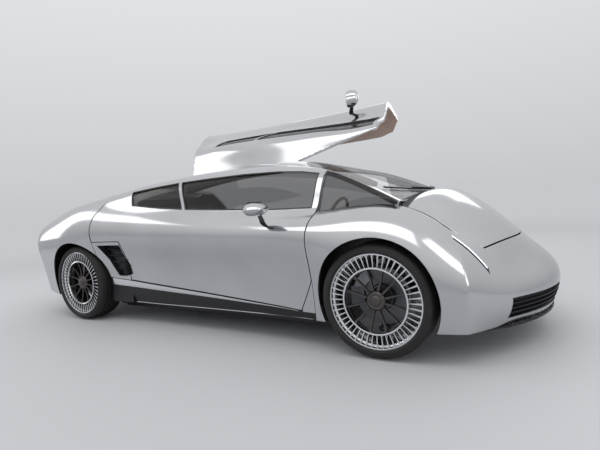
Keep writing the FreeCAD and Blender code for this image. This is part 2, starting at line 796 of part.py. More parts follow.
def side_scoop():
    """Body-coloured blade and duct walls ahead of the rear wheel."""
    sections = []
    for x in (door_rear_low - 12, -1010, -1110):
        side, waist, low = side_points(x)[2:]
        share = (side[1] - intake_top) / (side[1] - waist[1])
        top = (side[0] - (side[0] - waist[0]) * share ** 1.5, intake_top)
        points = [top, waist, (low[0], ground_gap + 70)]
        sections.append((points, [skin] * 3, cross(x)))
    body = skin_loft(sections).common(box(-1200, -800, 700, 1100, 100, intake_top - shut_gap))
    mouth = side_prism([(-826, 700), (-1105, 700), (-1040, 560), (-930, 430), (-826, 430)], 800, 1100)
    bracket = box(-1085, -1070, 748 + seat_gap, 880, 200, 330)
    arch = rod((rear_axle, 600, axle_z), (rear_axle, 1100, axle_z), rear_arch)
    return body.cut(mouth).fuse(bracket).cut(arch)


def intake_vanes():
    """Dark louvres in the side scoop's mouth."""
    plate = side_prism([(-840, 715), (-1112, 715), (-1046, 556), (-936, 418), (-840, 418)], 846, 856)
    vanes = [side_prism([(-845, z), (-1100 + (715 - z) * 0.5, z + 6), (-1100 + (715 - z) * 0.5, z + 11), (-845, z + 5)], 850, 880)
             for z in (470, 530, 590, 650)]
    return plate.fuse(vanes)


def sill_panel():
    """Dark rocker under the door, rising to the rear."""
    sections = []
    for x in (door_front + shut_gap, 930, 500, 0, -500, door_rear_low - 12):
        top = door_low_edge(x) - shut_gap if x < 930 else door_low_edge(930) - shut_gap
        out = side_lines[8](x) - 12
        points = [(out, top), (out - 2, (top + ground_gap + 60) / 2), (out - 26, ground_gap + 60)]
        sections.append((points, [skin] * 3, cross(x)))
    body = skin_loft(sections, True)
    floor = box(door_rear_low - 12, door_front + shut_gap, 748 + seat_gap, 820, ground_gap + 62, ground_gap + 74)
    return body.fuse(floor)


def grille():
    """Dark mesh plate and vanes behind the nose's mouth."""
    def vane(r0, r1, z0, z1):
        wires = []
        for degrees in (-42, -21, 0, 21, 42):
            place = bearing(front_axle, 1, degrees)
            r_lift = 22 * (degrees / 42) ** 2
            corners = [(r0 + r_lift, z0), (r1 + r_lift, z0), (r1 + r_lift, z1), (r0 + r_lift, z1), (r0 + r_lift, z0)]
            wires.append(Part.makePolygon([place(p) for p in corners]))
        return Part.makeLoft(wires, True, False)

    plate = vane(885, 922, intake_low - 12, intake_high + 12)
    blades = [vane(910, 938, z, z + 5) for z in (252, 280, 308)]
    return plate.fuse(blades)


def splitter():
    """Thin dark lip under the nose."""
    wires = []
    for degrees in (-62, -45, -22, 0, 22, 45, 62):
        place = bearing(front_axle, 1, degrees)
        r = 905 + 30 * (degrees / 62) ** 2
        wires.append(Part.makePolygon([place(p) for p in ((r - 150, 164), (r + 8, 168), (r + 8, 180), (r - 20, 192), (r - 150, 180), (r - 150, 164))]))
    return Part.makeLoft(wires, True, False)


def headlamp():
    """Slanting slit lamp, let into the nose beside the bonnet."""
    return plan_prism([(1888, 720), (2078, 696), (2092, 718), (1896, 746)], 450)


def lamp_wedge(grow):
    """Band around the tail that holds the rear lamps."""
    def r_in(degrees):
        return 925 + 100 * (degrees / 42) ** 1.7 + 0.0 - grow

    degrees = (0, 14, 28, 42, 54 + grow / 20)
    inner = [(rear_axle - r_in(d) * math.cos(math.radians(d)), r_in(d) * math.sin(math.radians(d))) for d in degrees]
    last = math.radians(degrees[-1])
    outer = [(rear_axle - 1500 * math.cos(last), 1500 * math.sin(last)), (rear_axle - 1500, 0)]
    half = inner + outer
    return plan_prism(half + [(x, -y) for x, y in half[-2:0:-1]], lamp_low - grow, lamp_high + grow)


def plate_pocket(tail_body):
    """Flat pocket for the number plate."""
    back = box(-2434, -2398, -275, 275, plate_z - 72, plate_z + 72)
    return tail_body.fuse(back).cut(box(-2600, -2426, -266, 266, plate_z - 61, plate_z + 61))


def number_plate():
    return box(-2430, -2426 - seat_gap, -260, 260, plate_z - 55, plate_z + 55)


def diffuser():
    """Dark panel rising under the tail, with upright fins, inside the tail's cut-out."""
    rows = ((-1900, 560, 150), (-2120, 600, 215), (-2290, 560, 330), (-2345, 520, 430))
    wires = []
    for x, half, z in rows:
        corners = [(-half, z), (half, z), (half, z + 16), (-half, z + 16), (-half, z)]
        wires.append(Part.makePolygon([V(x, y, h) for y, h in corners]))
    body = Part.makeLoft(wires, True, True)
    face = side_prism([(-2336, 415), (-2350, 520), (-2338, 520), (-2318, 415)], -520, 520)
    fins = []
    for k in range(6):
        y = -400 + 160 * k
        outline = [(-1905, 150), (-2120, 215), (-2290, 330), (-2344, 430), (-2350, 470), (-2300, 250), (-2150, 165), (-1960, 140)]
        fins.append(side_prism(outline, y - 6, y + 6))
    stay = box(-2170, -2130, -380, -340, 222, 400 - seat_gap)
    return body.fuse([face] + fins + [stay, mirrored(stay)])


# Tub, chassis and drive


def tub():
    """Floor, sills, bulkheads and front and rear boxes of the carbon tub."""
    floor = box(-1215, 1072, -700, 700, ground_gap, ground_gap + 40)
    parts = [box(-1066, 1072, 660, 748, ground_gap, 360), box(1048, 1072, 450, 832 - seat_gap, 160, 800),
             box(-1215, -1191, 0, 640, 160, 1000), box(-2200, -1215, 0, 620, 400, 420),
             box(-2200, -1215, 600, 620, 420, 800), box(1072, 2150, 380, 430, 300, 400),
             box(2150, 2190, 0, 520, 290, 410), box(1048, screen_low + 30, 560, 735, 800, shelf_top),
             box(-2200, -2180, 0, 600, 420, 800)]
    middle = [box(1048, 1072, -460, 460, 160, 800), box(-1191, 1048, -110, 110, 160, 330),
              box(screen_low - 40, screen_low + 30, -560, 560, 800, shelf_top), box(1048, 1090, -560, 560, 800, shelf_top)]
    body = floor.fuse(parts + [mirrored(p) for p in parts] + middle)
    duct = box(-1180 - seat_gap, 1200, -95 - seat_gap, 95 + seat_gap, 165 - seat_gap, 320 + seat_gap)
    return body.cut(duct).removeSplitter()


def arch_liner(axle, radius, inner_y, neighbours):
    """Dark half-round liner over a wheel, let into its wing."""
    r = radius + liner_gap
    shell = ring((axle, inner_y, axle_z), r + liner_wall, r, 960 - inner_y)
    shell = shell.cut(box(axle - 600, axle + 600, 0, 1100, -200, 225))
    return max(shell.cut(neighbours).Solids, key=lambda piece: piece.Volume)


def arm(inner_points, outer, radius=14):
    return [rod(p, outer, radius) for p in inner_points]


def eye(x, y, z0, z1, moving_pin):
    """Upright joint: a pin on the knuckle, a ring on the arm."""
    height = z1 - z0
    if moving_pin:
        return Part.makeCylinder(pivot_pin, height, V(x, y, z0))
    outer = Part.makeCylinder(24, height, V(x, y, z0))
    return outer.cut(Part.makeCylinder(pivot_pin + bearing_gap, height, V(x, y, z0)))


def front_subframe():
    cross_beam = box(front_axle - 80, front_axle + 80, -430, 430, 215, 300 - seat_gap)
    parts = [cross_beam]
    for side in (1, -1):
        tower = box(front_axle - 45, front_axle + 45, min(side * 380, side * 430), max(side * 380, side * 430), 400 + seat_gap, 620)
        link = box(front_axle - 45, front_axle + 45, min(side * 432, side * 452), max(side * 432, side * 452), 135, 620)
        tie = box(front_axle - 45, front_axle + 45, min(side * 425, side * 440), max(side * 425, side * 440), 215, 299)
        top = box(front_axle - 45, front_axle + 45, min(side * 425, side * 440), max(side * 425, side * 440), 402, 620)
        parts += [tower, link, tie, top]
        for zs, z_in in ((low_eye, 150.0), (high_eye, 600.0)):
            z = sum(zs) / 2
            hole = Part.makeCylinder(pivot_pin + bearing_gap, 60, V(front_axle, side * pivot_y, z - 30))
            rods = arm([(front_axle - 40, side * 448, z_in), (front_axle + 40, side * 448, z_in)], (front_axle, side * (pivot_y - 16), z), 9)
            parts += [r.cut(hole) for r in rods]
            parts.append(eye(front_axle, side * pivot_y, zs[0], zs[1], False))
    body = parts[0].fuse(parts[1:])
    return body.removeSplitter()


def upright(axle):
    """Hub carrier inboard of a wheel, with spindle and brake caliper."""
    post = box(axle - 32, axle + 32, 700, 738, 152, 554)
    spindle = rod((axle, 730, axle_z), (axle, spindle_end, axle_z), bearing_radius)
    caliper = box(axle - 206, axle - 118, 738, 802, axle_z - 58, axle_z + 58)
    caliper = caliper.cut(rod((axle, disc_y - disc_thick / 2 - 6, axle_z), (axle, disc_y + disc_thick / 2 + 6, axle_z), disc_radius + 6))
    bridge = box(axle - 206, axle - 20, 712, 740, axle_z - 40, axle_z + 40)
    return post.fuse([spindle, caliper, bridge])


def knuckle():
    """Steered hub carrier on its two upright pivots."""
    lugs = [box(front_axle - 24, front_axle + 24, 700, 824, 152, 166), box(front_axle - 24, front_axle + 24, 700, 824, 540, 554)]
    pins = [eye(front_axle, pivot_y, low_eye[0] - 1, 160, True), eye(front_axle, pivot_y, 546, high_eye[1] + 1, True)]
    steer_arm = box(front_axle - 150, front_axle - 20, 700, 722, 250, 272)
    return upright(front_axle).fuse(lugs + pins + [steer_arm])


def rear_subframe():
    """Rear cross beam with fixed arms and hub carriers."""
    parts = [box(rear_axle - 90, rear_axle + 90, -470, 470, 215, 290), box(rear_axle - 60, rear_axle + 60, -60, 60, 285, 400 - seat_gap)]
    for side in (1, -1):
        carrier = upright(rear_axle)
        parts.append(carrier if side > 0 else mirrored(carrier))
        for z_in, z_out in ((240, 170), (270, 430)):
            parts += arm([(rear_axle - 70, side * 460, z_in), (rear_axle + 70, side * 460, z_in)], (rear_axle, side * 712, z_out), 14)
    return parts[0].fuse(parts[1:]).removeSplitter()


def rim():
    """Wheel: barrel, hub, turbine spokes, a ring of thin radial fins and the brake disc."""
    outer_y = wheel_mid_y + 112
    inner_y = wheel_mid_y - 115
    barrel = ring((0, inner_y, 0), rim_radius, rim_radius - rim_wall, outer_y - inner_y)
    fin_ring = ring((0, outer_y - 26, 0), fin_inner + 9, fin_inner, 22)
    hub = Part.makeCylinder(hub_radius, outer_y - 22 - disc_y + disc_thick / 2, V(0, disc_y - disc_thick / 2, 0), V(0, 1, 0))
    disc = Part.makeCylinder(disc_radius, disc_thick, V(0, disc_y - disc_thick / 2, 0), V(0, 1, 0))
    blades = []
    for k in range(fin_count):
        fin = box(fin_inner + 2, rim_radius - 3, outer_y - 26, outer_y - 2, -fin_width / 2, fin_width / 2)
        fin.rotate(V(0, 0, 0), V(0, 1, 0), 360.0 * k / fin_count)
        blades.append(fin)
    for k in range(spoke_count):
        spoke = box(hub_radius - 8, fin_inner + 5, outer_y - 48, outer_y - 26, -spoke_width / 2, spoke_width / 2)
        spoke.rotate(V(0, 0, 0), V(0, 1, 0), 360.0 * (k + 0.5) / spoke_count)
        blades.append(spoke)
    web = ring((0, outer_y - 40, 0), fin_inner + 9, fin_inner - 6, 20)
    body = barrel.fuse([fin_ring, web, hub, disc] + blades)
    bore = Part.makeCylinder(bearing_radius + bearing_gap, spindle_end + 6 - disc_y + disc_thick, V(0, disc_y - disc_thick, 0), V(0, 1, 0))
    return body.cut(bore)


def tyre():
    half = tyre_width / 2
    seat = rim_radius + seat_gap
    a = V(0, wheel_mid_y - half + 8, seat)
    b = V(0, wheel_mid_y - half, seat + 22)
    c = V(0, wheel_mid_y - half + 26, tyre_radius - 8)
    d = V(0, wheel_mid_y - half + 62, tyre_radius)
    e, f, g, h = [V(0, 2 * wheel_mid_y - p.y, p.z) for p in (d, c, b, a)]
    mid_c = V(0, wheel_mid_y - half + 6, tyre_radius - 24)
    mid_f = V(0, 2 * wheel_mid_y - mid_c.y, mid_c.z)
    edges = [Part.makeLine(a, b), Part.Arc(b, mid_c, c).toShape(), Part.makeLine(c, d), Part.makeLine(d, e),
             Part.makeLine(e, f), Part.Arc(f, mid_f, g).toShape(), Part.makeLine(g, h), Part.makeLine(h, a)]
    return Part.Face(Part.Wire(edges)).revolve(V(0, 0, 0), V(0, 1, 0), 360)


def at_axle(shape, axle):
    moved = shape.copy()
    moved.translate(V(axle, 0, axle_z))
    return moved


# Cabin


def seat_pair(x, y, low, high, width):
    """Two bucket seats: a side outline drawn across the width, with raised bolsters."""
    def bucket(outline, y0, y1):
        return side_prism([(x + a, b) for a, b in outline], y0, y1)

    centre = [(0, low), (500, low), (530, low + 110), (480, low + 165), (60, low + 125), (-170, high - 60),
              (-215, high), (-285, high - 10), (-300, high - 80), (-110, low + 60)]
    wing = [(-20, low), (500, low), (520, low + 150), (430, low + 215), (110, low + 205), (-60, high - 150),
            (-230, high - 130), (-250, high - 220), (-110, low + 60)]
    inner = bucket(centre, y - width / 2 + 55, y + width / 2 - 55)
    wings = [bucket(wing, y - width / 2, y - width / 2 + 56), bucket(wing, y + width / 2 - 56, y + width / 2)]
    rails = box(x + 30, x + 460, y - width / 2 + 70, y + width / 2 - 70, ground_gap + 40 + seat_gap, low + 5)
    seat = inner.fuse(wings + [rails])
    return Part.makeCompound([seat, mirrored(seat)])


def dashboard():
    outline = [(1047, 500), (1047, 790), (980, 868), (860, 862), (760, 800), (735, 730), (790, 690), (900, 560)]
    top = side_prism(outline, -690, 690)
    console = side_prism([(-260, 330 + seat_gap), (900, 330 + seat_gap), (900, 600), (700, 560), (500, 470), (-200, 450)], -100, 100)
    return top.fuse(console)


wheel_centre = V(640, 370, 800)
column_axis = V(math.cos(math.radians(22)), 0, -math.sin(math.radians(22)))


def steering_wheel():
    hoop = Part.makeTorus(182, 15, wheel_centre, column_axis)
    boss = Part.makeCylinder(45, 40, wheel_centre - column_axis * 10, column_axis)
    bars = []
    for turn in (0, 120, 240):
        bar = box(0, 14, -14, 14, 30, 178)
        bar.rotate(V(0, 0, 0), V(1, 0, 0), turn + 60)
        bar.rotate(V(0, 0, 0), V(0, 1, 0), 22)
        bar.translate(wheel_centre)
        bars.append(bar)
    shaft = Part.makeCylinder(16, 70, wheel_centre, column_axis)
    return hoop.fuse([boss, shaft] + bars)


def column():
    """Column tube from the dashboard, holding the steering wheel's shaft."""
    start = wheel_centre + column_axis * 31
    return column_tube(26).cut(Part.makeCylinder(16 + bearing_gap, 60, start, column_axis))


def column_tube(radius):
    return Part.makeCylinder(radius, 120, wheel_centre + column_axis * 36, column_axis)


def power_pack():
    return box(-1180, 1070, -95, 95, 165, 320)


def export():
    wing = front_fender()
    quarter = rear_quarter()
    nose_body = nose()
    tail_body = plate_pocket(tail())
    lamps = [headlamp(), mirrored(headlamp())]
    lens = [nose_body.common(p) for p in lamps]
    keep("headlamps", Part.makeCompound(lens))
    keep("nose", nose_body.cut(lamps))
    band = lamp_wedge(0)
    keep("tail_lamps", tail_body.common(band))
    keep("tail", tail_body.cut(lamp_wedge(seat_gap)))
    keep_pair("front_fender", wing)
    keep_pair("rear_quarter", quarter)
    both = [wing, mirrored(wing), quarter, mirrored(quarter)]
    frame = roof_frame().cut(both)
    keep("roof_frame", frame)
    keep("windscreen", windscreen())
    pane = quarter_glass().cut([wing, frame])
    keep("quarter_glass", Part.makeCompound([pane, mirrored(pane)]))
    keep("rear_glass", rear_glass().cut(both[2:]))
    keep("rear_cowl", rear_cowl().cut(both[2:]))
    keep("cowl", cowl().cut(both[:2]))
    keep("bonnet", bonnet())
    keep("boot_lid", boot_lid())
    keep_door_pair("door", door())
    keep_door_pair("door_glass", door_glass())
    keep_door_pair("mirror", mirror())
    keep_pair("side_scoop", side_scoop())
    vanes = intake_vanes().cut(side_scoop())
    keep("intake_vanes", Part.makeCompound([vanes, mirrored(vanes)]))
    sill = sill_panel()
    keep("sill_panels", Part.makeCompound([sill, mirrored(sill)]))
    keep("grille", grille().cut(nose_body))
    keep("splitter", splitter().cut([nose_body] + both[:2]))
    keep("number_plate", number_plate())
    keep("diffuser", diffuser().cut(tail_body))
    keep("tub", tub())
    keep("power_pack", power_pack())
    scoop, frame_box = side_scoop(), tub()
    liners = [arch_liner(front_axle, front_arch, 520, [wing, frame_box]),
              arch_liner(rear_axle, rear_arch, 680, [quarter, scoop, frame_box])]
    keep("arch_liners", Part.makeCompound(liners + [mirrored(s) for s in liners]))
    keep("front_subframe", front_subframe())
    keep_pair("knuckle", knuckle())
    keep("rear_subframe", rear_subframe())
    keep("front_seats", seat_pair(-60, 370, 190, 1010, 500))
    keep("rear_seats", seat_pair(-860, 350, 190, 960, 460))
    keep("dashboard", dashboard().cut(column_tube(26 + seat_gap)))
    keep("steering_column", column())
    keep("steering_wheel", steering_wheel())
    wheel, rubber = rim(), tyre()
    for place, axle in (("front", front_axle), ("rear", rear_axle)):
        keep_pair("rim_" + place, at_axle(wheel, axle))
        keep_pair("tyre_" + place, at_axle(rubber, axle))
    for name, shape in pieces.items():
        print(name, shape.isValid(), len(shape.Solids), round(shape.Volume / 1e6, 2), shape.BoundBox)
        shape.exportStep("parts/" + name + ".step")


export()
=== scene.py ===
"""Scene: a polished gull-wing coupe dressed over its CAD frame. Metres, +X nose, +Y left, +Z up."""
import bpy
import math
from mathutils import Matrix, Vector


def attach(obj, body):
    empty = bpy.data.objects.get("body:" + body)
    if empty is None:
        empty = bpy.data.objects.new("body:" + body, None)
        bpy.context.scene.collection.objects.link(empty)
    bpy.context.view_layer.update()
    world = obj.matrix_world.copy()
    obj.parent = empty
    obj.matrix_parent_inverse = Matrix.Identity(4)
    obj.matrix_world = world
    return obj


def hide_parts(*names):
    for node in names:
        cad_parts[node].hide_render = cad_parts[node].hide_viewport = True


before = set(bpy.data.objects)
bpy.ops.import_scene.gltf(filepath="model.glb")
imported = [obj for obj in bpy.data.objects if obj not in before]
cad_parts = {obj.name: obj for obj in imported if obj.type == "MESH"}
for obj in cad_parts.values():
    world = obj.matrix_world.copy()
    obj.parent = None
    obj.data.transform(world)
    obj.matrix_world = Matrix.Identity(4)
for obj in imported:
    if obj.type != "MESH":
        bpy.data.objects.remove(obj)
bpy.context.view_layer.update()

# Body shape, in millimetres, as in the part's source

front_axle = 1475.0
rear_axle = -1475.0
axle_z = 352.0
front_arch = 390.0
rear_arch = 386.0
door_front = 1040.0
door_rear = -1180.0
door_rear_low = -826.0
intake_top = 742.0
shut_gap = 7.0
rear_gap = 10.0
door_open = 80.0
intake_low = 225.0
intake_high = 345.0
hinge_y = 300.0
hinge_x = -200.0
hinge_z = 1297.0
hinge_tilt = 2.7
seam_half = 14.0
pillar_root = (120.0, 300.0)
pillar_tip = (1600.0, 741.0)
pillar_width = 42.0
screen_top = 640.0
screen_low = 1600.0
roof_rear = -1250.0
rear_glass_low = -1485.0
bonnet_rear = 1640.0
bonnet_front = 2200.0
bonnet_sweep = 160.0
bonnet_half = 630.0
lid_front = -1530.0
lid_rear = -2322.0
lid_sweep = 120.0
lid_half = 664.0
channel_half = 300.0
channel_depth = 26.0
window_margin = 24.0
window_front = 1000.0
window_post = 30.0
post_foot = -165.0
post_head = -300.0
window_rear_low = -800.0
window_rear_high = -885.0
nose_end = 60.0
nose_corner = 47
tail_end = 58.0
skin_wall = 20
lid_wall = 18
roof_wall = 36
pane_wall = 5
door_roof_wall = 44
door_low_wall = 95
door_front_wall = 65
door_shut_wall = 30
arch_y = 850
arch_depth = 600
fender_tip = 2060
quarter_tip = -2300
far_out = 1500

# x, belt y and z, mid y and z, side y and z, waist y and z, low y and z
SIDE = (
    (2060, 650, 598, 775, 540, 880, 440, 885, 320, 865, 190),
    (1860, 690, 762, 835, 690, 955, 530, 958, 370, 925, 190),
    (1700, 706, 868, 862, 790, 982, 610, 985, 400, 945, 190),
    (1475, 738, 925, 872, 862, 993, 690, 990, 430, 950, 190),
    (1047, 792, 903, 870, 862, 955, 785, 940, 560, 893, 190),
    (500, 806, 912, 884, 866, 946, 800, 905, 600, 866, 190),
    (0, 824, 938, 895, 882, 948, 808, 893, 600, 862, 190),
    (-600, 826, 988, 904, 915, 955, 822, 890, 600, 865, 190),
    (-1180, 806, 1062, 915, 970, 978, 845, 930, 620, 888, 190),
    (-1475, 800, 1085, 925, 990, 995, 850, 985, 600, 945, 200),
    (-1800, 790, 1035, 915, 950, 985, 825, 975, 560, 935, 215),
    (-2100, 770, 945, 880, 890, 945, 800, 935, 540, 890, 260),
    (-2300, 740, 880, 830, 850, 880, 790, 870, 530, 830, 310),
)
ROOF = (
    (1600, 985, 735, 935),
    (1300, 1098, 640, 1080),
    (1047, 1190, 580, 1178),
    (800, 1266, 560, 1222),
    (500, 1320, 588, 1240),
    (200, 1335, 612, 1240),
    (-300, 1320, 645, 1228),
    (-880, 1256, 668, 1188),
    (-1250, 1190, 655, 1150),
)
BONNET = ((1600, 984), (1720, 1000), (1920, 905), (2120, 735), (2200, 655), (2330, 520), (2430, 390))
DECK = ((-1500, 1088, 1100), (-1800, 1018, 1040), (-2100, 935, 955), (-2330, 872, 885))
NOSE = (
    (0, 860, 540, 955, 400, 950, 290, 905, 185),
    (24, 862, 515, 950, 390, 946, 288, 905, 185),
    (47, 915, 520, 972, 405, 972, 290, 935, 185),
)
TAIL = (
    (0, 935, 893, 975, 800, 965, 650, 900, 505),
    (22, 965, 894, 1015, 800, 1000, 640, 935, 490),
    (42, 1035, 895, 1085, 800, 1070, 590, 1015, 380),
)


def smooth(pairs):
    """Natural cubic line through (position, value) pairs."""
    pairs = sorted(pairs)
    xs = [p[0] for p in pairs]
    ys = [p[1] for p in pairs]
    n = len(xs)
    h = [xs[i + 1] - xs[i] for i in range(n - 1)]
    upper = [0.0] * n
    bend = [0.0] * n
    for i in range(1, n - 1):
        slope = 6 * ((ys[i + 1] - ys[i]) / h[i] - (ys[i] - ys[i - 1]) / h[i - 1])
        pivot = 2 * (h[i - 1] + h[i]) - h[i - 1] * upper[i - 1]
        upper[i] = h[i] / pivot
        bend[i] = (slope - h[i - 1] * bend[i - 1]) / pivot
    for i in range(n - 2, 0, -1):
        bend[i] -= upper[i] * bend[i + 1]

    def value(x):
        i = 0
        while i < n - 2 and x > xs[i + 1]:
            i += 1
        a = (xs[i + 1] - x) / h[i]
        b = (x - xs[i]) / h[i]
        curve = (a ** 3 - a) * bend[i] + (b ** 3 - b) * bend[i + 1]
        return a * ys[i] + b * ys[i + 1] + curve * h[i] ** 2 / 6

    return value


def ease(value):
    """Soft step from 0 to 1."""
    value = min(max(value, 0.0), 1.0)
    return value * value * (3 - 2 * value)


def column(table, index):
    return smooth([(row[0], row[index]) for row in table])


side_lines = [column(SIDE, i) for i in range(1, 11)]
roof_centre, rail_y, rail_z = [column(ROOF, i) for i in (1, 2, 3)]
bonnet_centre = smooth(BONNET)
deck_centre, deck_edge = column(DECK, 1), column(DECK, 2)
belt_y, belt_z = side_lines[0], side_lines[1]


def side_points(x):
    return [(side_lines[i](x), side_lines[i + 1](x)) for i in range(0, 10, 2)]


def roof_height(x, y):
    return roof_centre(x) - (roof_centre(x) - rail_z(x)) * (y / rail_y(x)) ** 2


def bonnet_height(x, y):
    return bonnet_centre(x) - (bonnet_centre(x) - belt_z(x)) * (abs(y) / belt_y(x)) ** 2.3


def pillar_line(x, shift=0.0):
    """Plan line of the screen pillar's outer edge."""
    (x0, y0), (x1, y1) = pillar_root, pillar_tip
    return y0 + (x - x0) * (y1 - y0) / (x1 - x0) + shift


def through(points):
    """Smooth line through flat points, spaced by their distances, as a function of 0 to 1."""
    run = [0.0]
    for a, b in zip(points, points[1:]):
        run.append(run[-1] + math.hypot(b[0] - a[0], b[1] - a[1]))
    first = smooth([(s / run[-1], p[0]) for s, p in zip(run, points)])
    second = smooth([(s / run[-1], p[1]) for s, p in zip(run, points)])
    return lambda t: (first(t), second(t))


def quarter_points(x):
    """Section of the rear quarter, from the lid or the rear pane down to the sill."""
    blend = min(max((x - lid_front) / (door_rear - lid_front), 0), 1)
    edge_y = lid_half + shut_gap + blend * (rail_y(door_rear) - lid_half - shut_gap)
    edge_z = deck_edge(x) * (1 - blend) + (rail_z(min(x + 30, door_rear))) * blend
    belt = side_points(x)[0]
    top = ((edge_y + belt[0]) / 2, (edge_z + belt[1]) / 2 + 9)
    return [(edge_y, edge_z), top] + side_points(x)


def window_mid(x):
    return (rail_y(x) + belt_y(x)) / 2 + 11.2, (rail_z(x) + belt_z(x)) / 2 + 8.4


def door_section(x):
    """Section of the door, from the roof strip down to the sill."""
    seam = hinge_y + seam_half
    middle = (seam + rail_y(x)) / 2
    return [(seam, roof_height(x, seam)), (middle, roof_height(x, middle)), (rail_y(x), rail_z(x)),
            window_mid(x)] + side_points(x)


def skin_y(x, z):
    """Half width of the body's side at a height."""
    line = through(side_points(x))
    low, high = 0.0, 1.0
    for _ in range(24):
        mid = (low + high) / 2
        if line(mid)[1] > z:
            low = mid
        else:
            high = mid
    return line(low)[0]


def door_low_edge(x):
    return 250 + (930 - x) * (380 - 250) / (930 + 700)


def on_bearing(axle, sign, degrees, y_line, z_line):
    """Where a bearing from an axle's middle meets a body line: distance and height."""
    s, c = math.sin(math.radians(degrees)), math.cos(math.radians(degrees))
    low, high = 200.0, 900.0
    for _ in range(40):
        mid = (low + high) / 2
        if mid * s / c < y_line(axle + sign * mid):
            low = mid
        else:
            high = mid
    return low / c, z_line(axle + sign * low)


def nose_top(degrees):
    """Distance and height of the bonnet's front edge on a bearing."""
    c, s = math.cos(math.radians(degrees)), math.sin(math.radians(degrees))
    r = 500.0
    while front_axle + r * c < bonnet_front + shut_gap - bonnet_sweep * (r * s / bonnet_half) ** 2:
        r += 0.25
    x, y = front_axle + r * c, r * s
    return r, bonnet_height(x, min(y, belt_y(x)))


def tail_seam():
    """Plan seam between tail and rear quarter over the deck: from the belt in to the lid's corner."""
    r, _ = on_bearing(rear_axle, -1, tail_end, belt_y, belt_z)
    end = math.radians(tail_end)
    corner_y = lid_half + shut_gap
    corner_x = lid_rear - shut_gap + lid_sweep * (corner_y / lid_half) ** 2
    return [(rear_axle - r * math.cos(end), r * math.sin(end)), (corner_x, corner_y)]


def nose_shoulder(degrees):
    """Distance from the front axle to the nose's top edge on a bearing beside the bonnet's corner."""
    end = on_bearing(front_axle, 1, nose_end, belt_y, belt_z)[0]
    line = [(b, nose_top(b)[0]) for b in (0, 12, 24, 36, nose_corner)] + [(nose_end, end)]
    return smooth([(-b, r) for b, r in line[1:]] + line)(degrees)


def tail_top(degrees):
    """Distance and height of the tail's top edge on a bearing: by the seam, then by the lid."""
    c, s = math.cos(math.radians(degrees)), math.sin(math.radians(degrees))
    (x0, y0), (x1, y1) = tail_seam()
    if math.degrees(math.atan2(y1, rear_axle - x1)) < degrees:
        share = (y1 * c + (x1 - rear_axle) * s) / ((y1 - y0) * c + (x1 - x0) * s)
        x, y = x1 + (x0 - x1) * share, y1 + (y0 - y1) * share
        return y / s, smooth(quarter_points(x)[:3])(y)
    r = 500.0
    while rear_axle - r * c > lid_rear - shut_gap + lid_sweep * (r * s / lid_half) ** 2:
        r += 0.25
    return r, lid_bank(rear_axle - r * c, min(r * s, lid_half)) + 2


# Mesh helpers


def pick(o):
    bpy.ops.object.select_all(action="DESELECT")
    o.select_set(True)
    bpy.context.view_layer.objects.active = o


def named(name):
    o = bpy.context.active_object
    o.name = name
    o.data.name = name
    return o


def shape_all(o, move):
    for v in o.data.vertices:
        v.co = Vector(move(v.co))
    o.data.update()


def settle(o):
    """Object to the origin, with its place in its mesh."""
    pick(o)
    bpy.ops.object.transform_apply(location=True, rotation=True, scale=True)


def refine(o, kind, **settings):
    pick(o)
    modifier = o.modifiers.new(kind.lower(), kind)
    for key, value in settings.items():
        setattr(modifier, key, value)
    bpy.ops.object.modifier_apply(modifier=modifier.name)
    return o


def tidy(o, turn_out=True, merge=0.00001):
    pick(o)
    bpy.ops.object.mode_set(mode="EDIT")
    bpy.ops.mesh.select_all(action="SELECT")
    bpy.ops.mesh.remove_doubles(threshold=merge)
    if turn_out:
        bpy.ops.mesh.normals_make_consistent(inside=False)
    bpy.ops.object.mode_set(mode="OBJECT")
    return o


def smooth_faces(o, degrees=30):
    pick(o)
    bpy.ops.object.shade_smooth_by_angle(angle=math.radians(degrees), keep_sharp_edges=False)
    return o


def cut(o, *tools):
    for tool in tools:
        refine(o, "BOOLEAN", object=tool, operation="DIFFERENCE", solver="EXACT")
    return o


def drop(*objects):
    for o in objects:
        bpy.data.objects.remove(o, do_unlink=True)


def prism(points, axis, start, end):
    """Cutter: a flat outline in millimetres, drawn along y or z between start and end."""
    bpy.ops.object.select_all(action="DESELECT")
    bpy.ops.mesh.primitive_circle_add(vertices=len(points), radius=1, fill_type="NGON")
    o = named("cutter")
    for v, p in zip(o.data.vertices, points):
        v.co = (p[0], start, p[1]) if axis == "y" else (p[0], p[1], start)
    step = (0, end - start, 0) if axis == "y" else (0, 0, end - start)
    bpy.ops.object.mode_set(mode="EDIT")
    bpy.ops.mesh.select_all(action="SELECT")
    bpy.ops.mesh.extrude_region_move(TRANSFORM_OT_translate={"value": step})
    bpy.ops.object.mode_set(mode="OBJECT")
    shape_all(o, lambda c: (c.x / 1000, c.y / 1000, c.z / 1000))
    return tidy(o)


def drum(x, y, z, radius, depth):
    """Cutter: a round bar along y, its middle at x, y, z, in millimetres."""
    bpy.ops.object.select_all(action="DESELECT")
    bpy.ops.mesh.primitive_cylinder_add(vertices=128, radius=radius / 1000, depth=depth / 1000,
                                        location=(x / 1000, y / 1000, z / 1000), rotation=(math.pi / 2, 0, 0))
    o = named("cutter")
    settle(o)
    return o


def bar(name, x0, x1, y0, y1, z0, z1):
    """Plain box between corners in millimetres."""
    bpy.ops.object.select_all(action="DESELECT")
    bpy.ops.mesh.primitive_cube_add(size=1)
    o = named(name)
    shape_all(o, lambda c: ((x0 + (c.x + 0.5) * (x1 - x0)) / 1000, (y0 + (c.y + 0.5) * (y1 - y0)) / 1000,
                            (z0 + (c.z + 0.5) * (z1 - z0)) / 1000))
    return o


